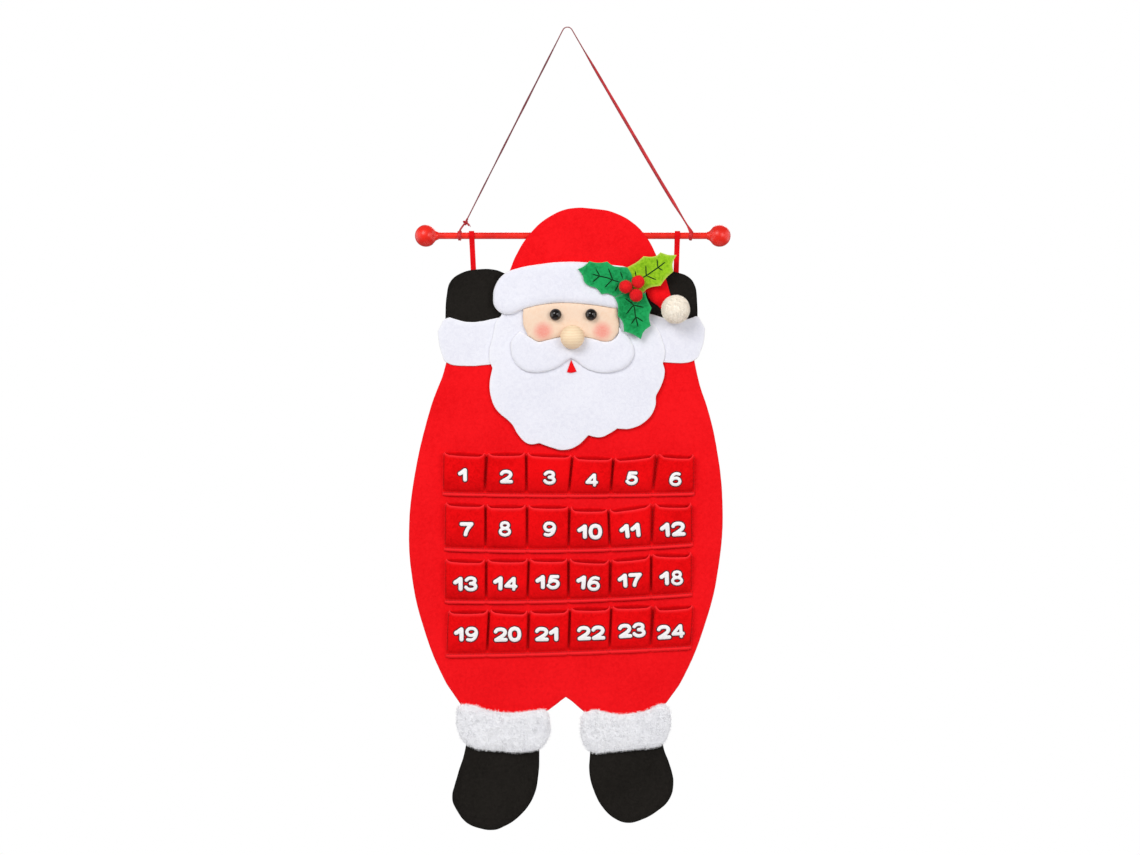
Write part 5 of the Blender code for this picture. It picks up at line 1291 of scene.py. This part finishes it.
def outlines_within(segments, reach, step=0.028):
    """Closed outlines of everything nearer than a reach to the strokes, inside always on the left."""
    span = np.arange(-0.15, 1.25, step)
    xs, zs = np.meshgrid(span, span)
    grid = np.stack([xs.ravel(), zs.ravel()], axis=1)
    level = (edge_distance(grid, [segments]) - reach).reshape(xs.shape)
    after, place = {}, {}

    def crossing(a, b):
        key = (a, b) if a < b else (b, a)
        if key not in place:
            first, second = level[a], level[b]
            share = first / (first - second)
            place[key] = tuple(span[a[w]] + share * (span[b[w]] - span[a[w]]) for w in (1, 0))
        return key

    for i in range(len(span) - 1):
        for k in range(len(span) - 1):
            for corners in (((i, k), (i, k + 1), (i + 1, k + 1)), ((i, k), (i + 1, k + 1), (i + 1, k))):
                inside = [level[c] < 0 for c in corners]
                if all(inside) or not any(inside):
                    continue
                odd = inside.index(sum(inside) == 1)
                a, b, c = corners[odd], corners[(odd + 1) % 3], corners[(odd + 2) % 3]
                start, end = crossing(a, b), crossing(a, c)
                if not inside[odd]:
                    start, end = end, start
                after[start] = end
    loops = []
    while after:
        first = next(iter(after))
        loop, step_on = [], first
        while step_on in after:
            loop.append(place[step_on])
            step_on = after.pop(step_on)
        if len(loop) > 8:
            loops.append(smooth_line(loop[::2], 0.045, closed=True))
    return loops


DIGIT_NETS = {}
for digit, (width, half_stroke, strokes) in DIGITS.items():
    segments = stroke_segments(strokes)
    # The second, wider outline is for the painted shadow round the digit.
    DIGIT_NETS[digit] = [
        cut_net(outlines_within(segments, reach), insets, 0.12)
        for reach, insets in ((half_stroke, (0.012, 0.04, 0.085)), (half_stroke + 0.070, (0.03,)))]
print("digits:", {d: len(nets[0][0]) for d, nets in DIGIT_NETS.items()})

# %% [markdown]
# Puff print swells when it is heated and holds on to the felt below. A ray from the front finds the felt
# behind each point of a digit, so the print follows the curve of the pocket. A thin dark layer, a little
# wider, lies under the white one and shows round it as painted shadow.

# %% Printing the numbers on the pockets
puff_print = speckled("puff_print_white", (0.88, 0.85, 0.86), (0.97, 0.96, 0.96), (900.0, 4.0, 0.65), (0.0003, 0.6),
                      Roughness=0.7, Specular_IOR_Level=0.2)
# Painted shadow: a thin dark layer round each digit.
digit_shadow = speckled("painted_digit_shadow", (0.045, 0.001, 0.006), (0.13, 0.003, 0.010), (700.0, 3.0), Roughness=0.9)


def wrap_digit(net, thick, dome, to_place, tree_of_surface):
    """A digit's solid, laid on the surface that a ray from the front meets."""
    points, triangles, distance, rim_sides = net
    spots = [to_place(x, z) for x, z in points]
    surface = []
    for x, z in spots:
        hit = tree_of_surface.ray_cast(Vector((x, -0.2, z)), Vector((0, 1, 0)))[0]
        surface.append(hit.y if hit else SEWN_ON - POCKET_THICK - POCKET_DEPTH)
    scaled = distance * DIGIT_HEIGHT
    front = thick * (0.35 + 0.65 * rounded(scaled, dome))
    count = len(points)
    shell = [(x, y - f, z) for (x, z), y, f in zip(spots, surface, front)]
    shell += [(x, y + 0.0002, z) for (x, z), y in zip(spots, surface)]
    faces = []
    for a, b, c in facing_front(points, triangles):
        faces += [(a, b, c), (c + count, b + count, a + count)]
    faces += [(i, i + count, j + count, j) for i, j in rim_sides]
    return shell, faces


for row in range(4):
    mesh = row_pieces[row].data
    surface = BVHTree.FromPolygons([v.co.copy() for v in mesh.vertices],
                                   [tuple(p.vertices) for p in mesh.polygons])
    white_parts, shadow_parts = [], []
    height = DIGIT_HEIGHT * ROW_DIGIT_SCALE[row]
    for column in range(6):
        number = row * 6 + column + 1
        centre = np.array(NUMBER_PLACES[row][column]) * MM
        tilt = math.radians(NUMBER_TILTS.get(number, 0.0))
        text = str(number)
        total = sum(DIGITS[d][0] for d in text) + DIGIT_SPACE * (len(text) - 1)
        start = -total / 2
        for d in text:
            def to_place(x, z, start=start):
                across, up = (start + x) * height, (z - 0.5) * height
                return (centre[0] + across * math.cos(tilt) - up * math.sin(tilt),
                        centre[1] + across * math.sin(tilt) + up * math.cos(tilt))
            white_parts.append(wrap_digit(DIGIT_NETS[d][0], 0.0013, 0.0020, to_place, surface))
            shadow_parts.append(wrap_digit(DIGIT_NETS[d][1], 0.00035, 0.0004, to_place, surface))
            start += DIGITS[d][0] + DIGIT_SPACE
    range_name = f"{row * 6 + 1}_to_{row * 6 + 6}"
    add_piece(f"numbers_{range_name}", *join_meshes(white_parts), puff_print, "figure", "white_felt")
    add_piece(f"number_shadows_{range_name}", *join_meshes(shadow_parts), digit_shadow, "figure", "pocket_felt")
print("numbers printed")

# %% [markdown]
# A pocket's mouth shows a dark band: the inside of the pocket, in shade behind the front's rim. A thin
# layer stands there a few millimetres higher than the front, from one pointed corner to the next, and
# carries painted shade, darkest near the rim.

# %% Inner layers behind the mouths
INNER_UP = [-0.0080, -0.0010, 0.0018, 0.0036, 0.0052]
# Painted shade on each inner layer, darkest low down and none at its top edge.
INNER_PAINTED_SHADE = [0.8, 0.75, 0.65, 0.35, 0.0]
per_pocket = len(PLEAT_ACROSS) - 1
inside_cols = [k for k in range(per_pocket) if 0.06 < PLEAT_ACROSS[k] < 0.94]
for row, grid in enumerate(row_grids):
    parts, shades = [], []
    for pocket in range(6):
        cols = [pocket * per_pocket + k for k in inside_cols]
        rim_line = grid[0, cols].copy()
        near_corners = rim_line[[4, -5]]
        chord = np.interp(rim_line[:, 0], near_corners[:, 0], near_corners[:, 2])
        rim_line[:, 2] = np.minimum(rim_line[:, 2], chord)
        bulge = np.sin(np.linspace(0.16, math.pi - 0.16, len(cols))) ** 0.35
        layer = []
        for up in INNER_UP:
            z = rim_line[:, 2] + (up * bulge if up > 0 else up)
            x = rim_line[:, 0]
            layer.append(np.stack([x, SEWN_ON - 0.0007 + sway(x, z), z], axis=1))
        layer = np.array(layer)
        points, faces = thick_strip(layer, 0.0004)
        extra = len(points) - 2 * layer.shape[0] * layer.shape[1]
        front = np.repeat(INNER_PAINTED_SHADE, len(cols))
        parts.append((points, faces))
        shades += list(front) + list(front) + [0.0] * extra
    add_piece(f"pocket_mouth_shade_{row + 1}", *join_meshes(parts), POCKET_FELT, "figure", "pocket_felt", shade=shades,
              rim=[0.0] * len(shades))

# %% [markdown]
# Sewing. The strips are machine-sewn along the bottom and down between the pockets, with red thread in
# stitches of about 2.5 mm. Each stitch is a short thread that dips into the felt at both ends. The veins
# of the holly are dark thread in longer lines.

# %% Thread
def thread_material(name, colour, dark, sheen):
    material, tree, shader = new_material(name, Roughness=0.7, Specular_IOR_Level=0.1, Sheen_Weight=sheen)
    ply = cloud(tree, own_coordinates(tree), 1400.0, 2.0, 0.5, 1.5)
    colour_with(tree, shader, blend_colours(tree, spread(tree, ply, 0.35, 0.65), dark, colour))
    raise_grain(tree, shader, ply, 0.0002, 0.6)
    return material


RED_THREAD = thread_material("thread_red", (0.55, 0.006, 0.010), (0.26, 0.002, 0.004), 0.15)
VEIN_THREAD = thread_material("thread_dark_green", (0.006, 0.050, 0.012), (0.002, 0.018, 0.005), 0.0)


def stitch_mesh(start, end, out, radius=0.00030, height=0.00035):
    start, end, out = np.array(start), np.array(end), np.array(out)
    shares = np.linspace(0, 1, 6)
    line = [start + (end - start) * s + out * (height * math.sin(math.pi * s) - 0.0002) for s in shares]
    return tube_mesh(line, radius * (0.5 + 0.5 * np.sin(math.pi * shares) ** 0.5), radius, 0.0, 6,
                     start_side=tuple(out))


def running_stitches(line, length=0.0025, gap=0.0009, out=(0.0, -1.0, 0.0)):
    line = np.array(line)
    lengths = marks_along(line)
    parts, at = [], gap
    while at + length < lengths[-1]:
        ends = [[np.interp(m, lengths, line[:, k]) for k in range(3)] for m in (at, at + length)]
        parts.append(stitch_mesh(*ends, out))
        at += length + gap
    return parts


seam_level = int(np.argmin(np.abs(DOWN_AT - SEAM_AT)))
for row, grid in enumerate(row_grids):
    parts = running_stitches(grid[seam_level] - (0, 0.0001, 0))
    for seam in range(7):
        column = min(seam * per_pocket, grid.shape[1] - 1)
        column = max(column, 1) if seam == 0 else min(column, grid.shape[1] - 2)
        parts += running_stitches(grid[1:seam_level - 1, column] - (0, 0.0001, 0))
    add_piece(f"strip_{row + 1}_stitches", *join_meshes(parts), RED_THREAD, "figure", "red_cord")
print("sewn: four strips")

# %% [markdown]
# The veins are threads laid on the leaf along lines read off the photograph. They taper to both ends,
# as a stitch does where it goes into the felt.

# %% Veins of the holly, places in millimetres
VEINS = {
    "left": [[(29.9, -297.5), (36.9, -299.6), (47.2, -301.8), (54.4, -304.7), (62.1, -307.0)],
             [(33.8, -291.3), (38.5, -299.6)], [(38.5, -299.6), (29.9, -307.0)],
             [(48.8, -290.8), (53.9, -303.7)], [(53.9, -303.7), (44.3, -313.4)],
             [(63.2, -294.4), (65.9, -302.6)], [(56.5, -318.1), (60.6, -309.8)]],
    "right": [[(88.9, -302.0), (94.0, -299.2), (107.9, -289.7), (116.7, -283.0)],
              [(93.5, -287.1), (94.0, -299.2)], [(94.0, -299.2), (105.9, -304.1)],
              [(106.9, -279.4), (107.9, -289.7)], [(107.9, -289.7), (113.6, -292.8)],
              [(81.0, -293.8), (81.7, -300.5)]],
    "lower": [[(68.8, -326.3), (78.6, -334.5), (81.1, -346.9), (84.2, -360.2)],
              [(90.9, -337.1), (78.6, -334.5)], [(78.6, -334.5), (70.3, -344.8)],
              [(90.4, -354.0), (81.7, -348.4)], [(81.7, -348.4), (76.0, -357.1)]]}
VEIN_RADIUS = 0.00068
for side, lines in VEINS.items():
    front = front_of(f"holly_leaf_{side}")
    parts = []
    for line in lines:
        path = smooth_line([(x * MM, front - 0.0001, z * MM) for x, z in line], 0.0012)
        steps = np.arange(len(path))
        taper = VEIN_RADIUS * np.clip(np.minimum(steps + 1, len(path) - steps) / 3, 0.4, 1)
        parts.append(tube_mesh(path, taper, taper * 0.8, 0.0, 8))
    add_piece(f"holly_veins_{side}", *join_meshes(parts), VEIN_THREAD, "figure", "dark_green_felt")

# %% [markdown]
# Pile. The leg cuffs are short plush, and the pompom and the berries are wool rolled or clipped round.
# Their surface is many separate tufts: each is a thin, bent, three-sided needle that starts
# inside the soft body and ends at the height of the pile, so the outline is soft from every side.

# %% Needles of pile
def scatter(piece, count, seed, front_only=False):
    """Random places on a mesh with the way out of it, evenly spread over its area."""
    mesh = piece.data
    mesh.calc_loop_triangles()
    corners = np.array([[mesh.vertices[i].co[:] for i in t.vertices] for t in mesh.loop_triangles])
    out = np.cross(corners[:, 1] - corners[:, 0], corners[:, 2] - corners[:, 0])
    area = np.linalg.norm(out, axis=1)
    keep = area > 1e-12
    if front_only:
        keep &= out[:, 1] < 0.15 * area
    corners, out, area = corners[keep], out[keep], area[keep]
    chance = np.random.default_rng(seed)
    chosen = chance.choice(len(area), count, p=area / area.sum())
    u, v = chance.random(count), chance.random(count)
    flip = u + v > 1
    u[flip], v[flip] = 1 - u[flip], 1 - v[flip]
    a, b, c = corners[chosen, 0], corners[chosen, 1], corners[chosen, 2]
    return a + (b - a) * u[:, None] + (c - a) * v[:, None], out[chosen] / area[chosen, None], chance


def pile_mesh(roots, ways, lengths, half_width, bend, chance, sunk=0.0004):
    """Thin bent needles, each a closed three-sided spike."""
    count = len(roots)
    drift = chance.normal(size=(count, 3))
    drift -= ways * (drift * ways).sum(axis=1)[:, None]
    drift /= np.linalg.norm(drift, axis=1)[:, None]
    other = np.cross(ways, drift)
    lean = bend * (0.4 + 0.6 * chance.random(count))[:, None] * lengths[:, None]
    levels = [(roots - ways * sunk, 1.0), (roots + ways * (0.55 * lengths[:, None]) + drift * 0.35 * lean, 0.75)]
    points = np.zeros((count, 7, 3))
    for level, (centre, wide) in enumerate(levels):
        for k, (c, s) in enumerate(steps_round(3)):
            points[:, level * 3 + k] = centre + half_width * wide * (drift * c + other * s)
    points[:, 6] = roots + ways * lengths[:, None] + drift * lean
    one = [(0, 1, 4, 3), (1, 2, 5, 4), (2, 0, 3, 5), (3, 4, 6), (4, 5, 6), (5, 3, 6), (2, 1, 0)]
    faces = [tuple(i * 7 + k for k in face) for i in range(count) for face in one]
    return points.reshape(-1, 3), faces


def add_pile(piece, name, count, length, half_width, bend, material, body, slot, seed, front_only=False, even=0.25,
             kept=None):
    roots, ways, chance = scatter(piece, count, seed, front_only)
    lengths = length * (1 - even + 2 * even * chance.random(count))
    points, faces = pile_mesh(roots, ways, lengths, half_width, bend, chance)
    if kept is not None:
        needles = points.reshape(count, 7, 3)
        needles = needles[kept(needles)]
        points, faces = needles.reshape(-1, 3), faces[:7 * len(needles)]
    add_piece(name, points, faces, material, body, slot)
    print(name, len(points) // 7, "tufts")

# %% [markdown]
# Each soft piece has its own pile: dense and even on the clipped pompom, a faint fuzz on the berries,
# longer and mixed on the plush. A leg folds up towards the body, so the few hairs at its fold line that
# would be pushed into the felt above are left out.

# %% Pompom, berries and leg cuffs
add_pile(pom_core, "pompom_tufts", 7000, 0.0017, 0.00018, 0.7, POM_WOOL, "pompom", "cream_pompom", 11, even=0.12)
for number in (1, 2, 3):
    berry = bpy.data.objects[f"berry_{number}_wool"]
    add_pile(berry, f"berry_{number}_fuzz", 900, 0.0010, 0.00010, 0.9, BERRY_FELT, "figure", "berry_red",
             20 + number)
HINGE_Y = -0.004
RISE_AHEAD = 0.26  # of the distance in front of the hinge
CLEARANCE = 0.0004


def clear_of_fold(needles):
    """Tufts that a leg folded up by 75 degrees would push into the body are left out."""
    ahead = HINGE_Y - needles[:, :, 1]
    return (needles[:, :, 2] < FOLD_LINE + RISE_AHEAD * ahead - CLEARANCE).all(axis=1)


PILE_WHITE = felt("pile_white", (0.98, 0.98, 0.99), (0.90, 0.90, 0.93), (0.99, 0.99, 0.99), 0.8, 0.15, 0.0003)
for number, side in enumerate(("left", "right")):
    cuff = bpy.data.objects[f"leg_cuff_{side}_plush"]
    add_pile(cuff, f"leg_cuff_{side}_tufts", 5200, 0.0021, 0.00026, 0.9, PILE_WHITE, f"{side}_leg", "white_plush",
             31 + number, front_only=True, even=0.35, kept=clear_of_fold)

# %% [markdown]
# Last, the room that the dressed model takes is printed, in millimetres.

# %% Size and finish
low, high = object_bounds()
print("visual size in mm:", [round((b - a) * 1000, 1) for a, b in zip(low, high)])
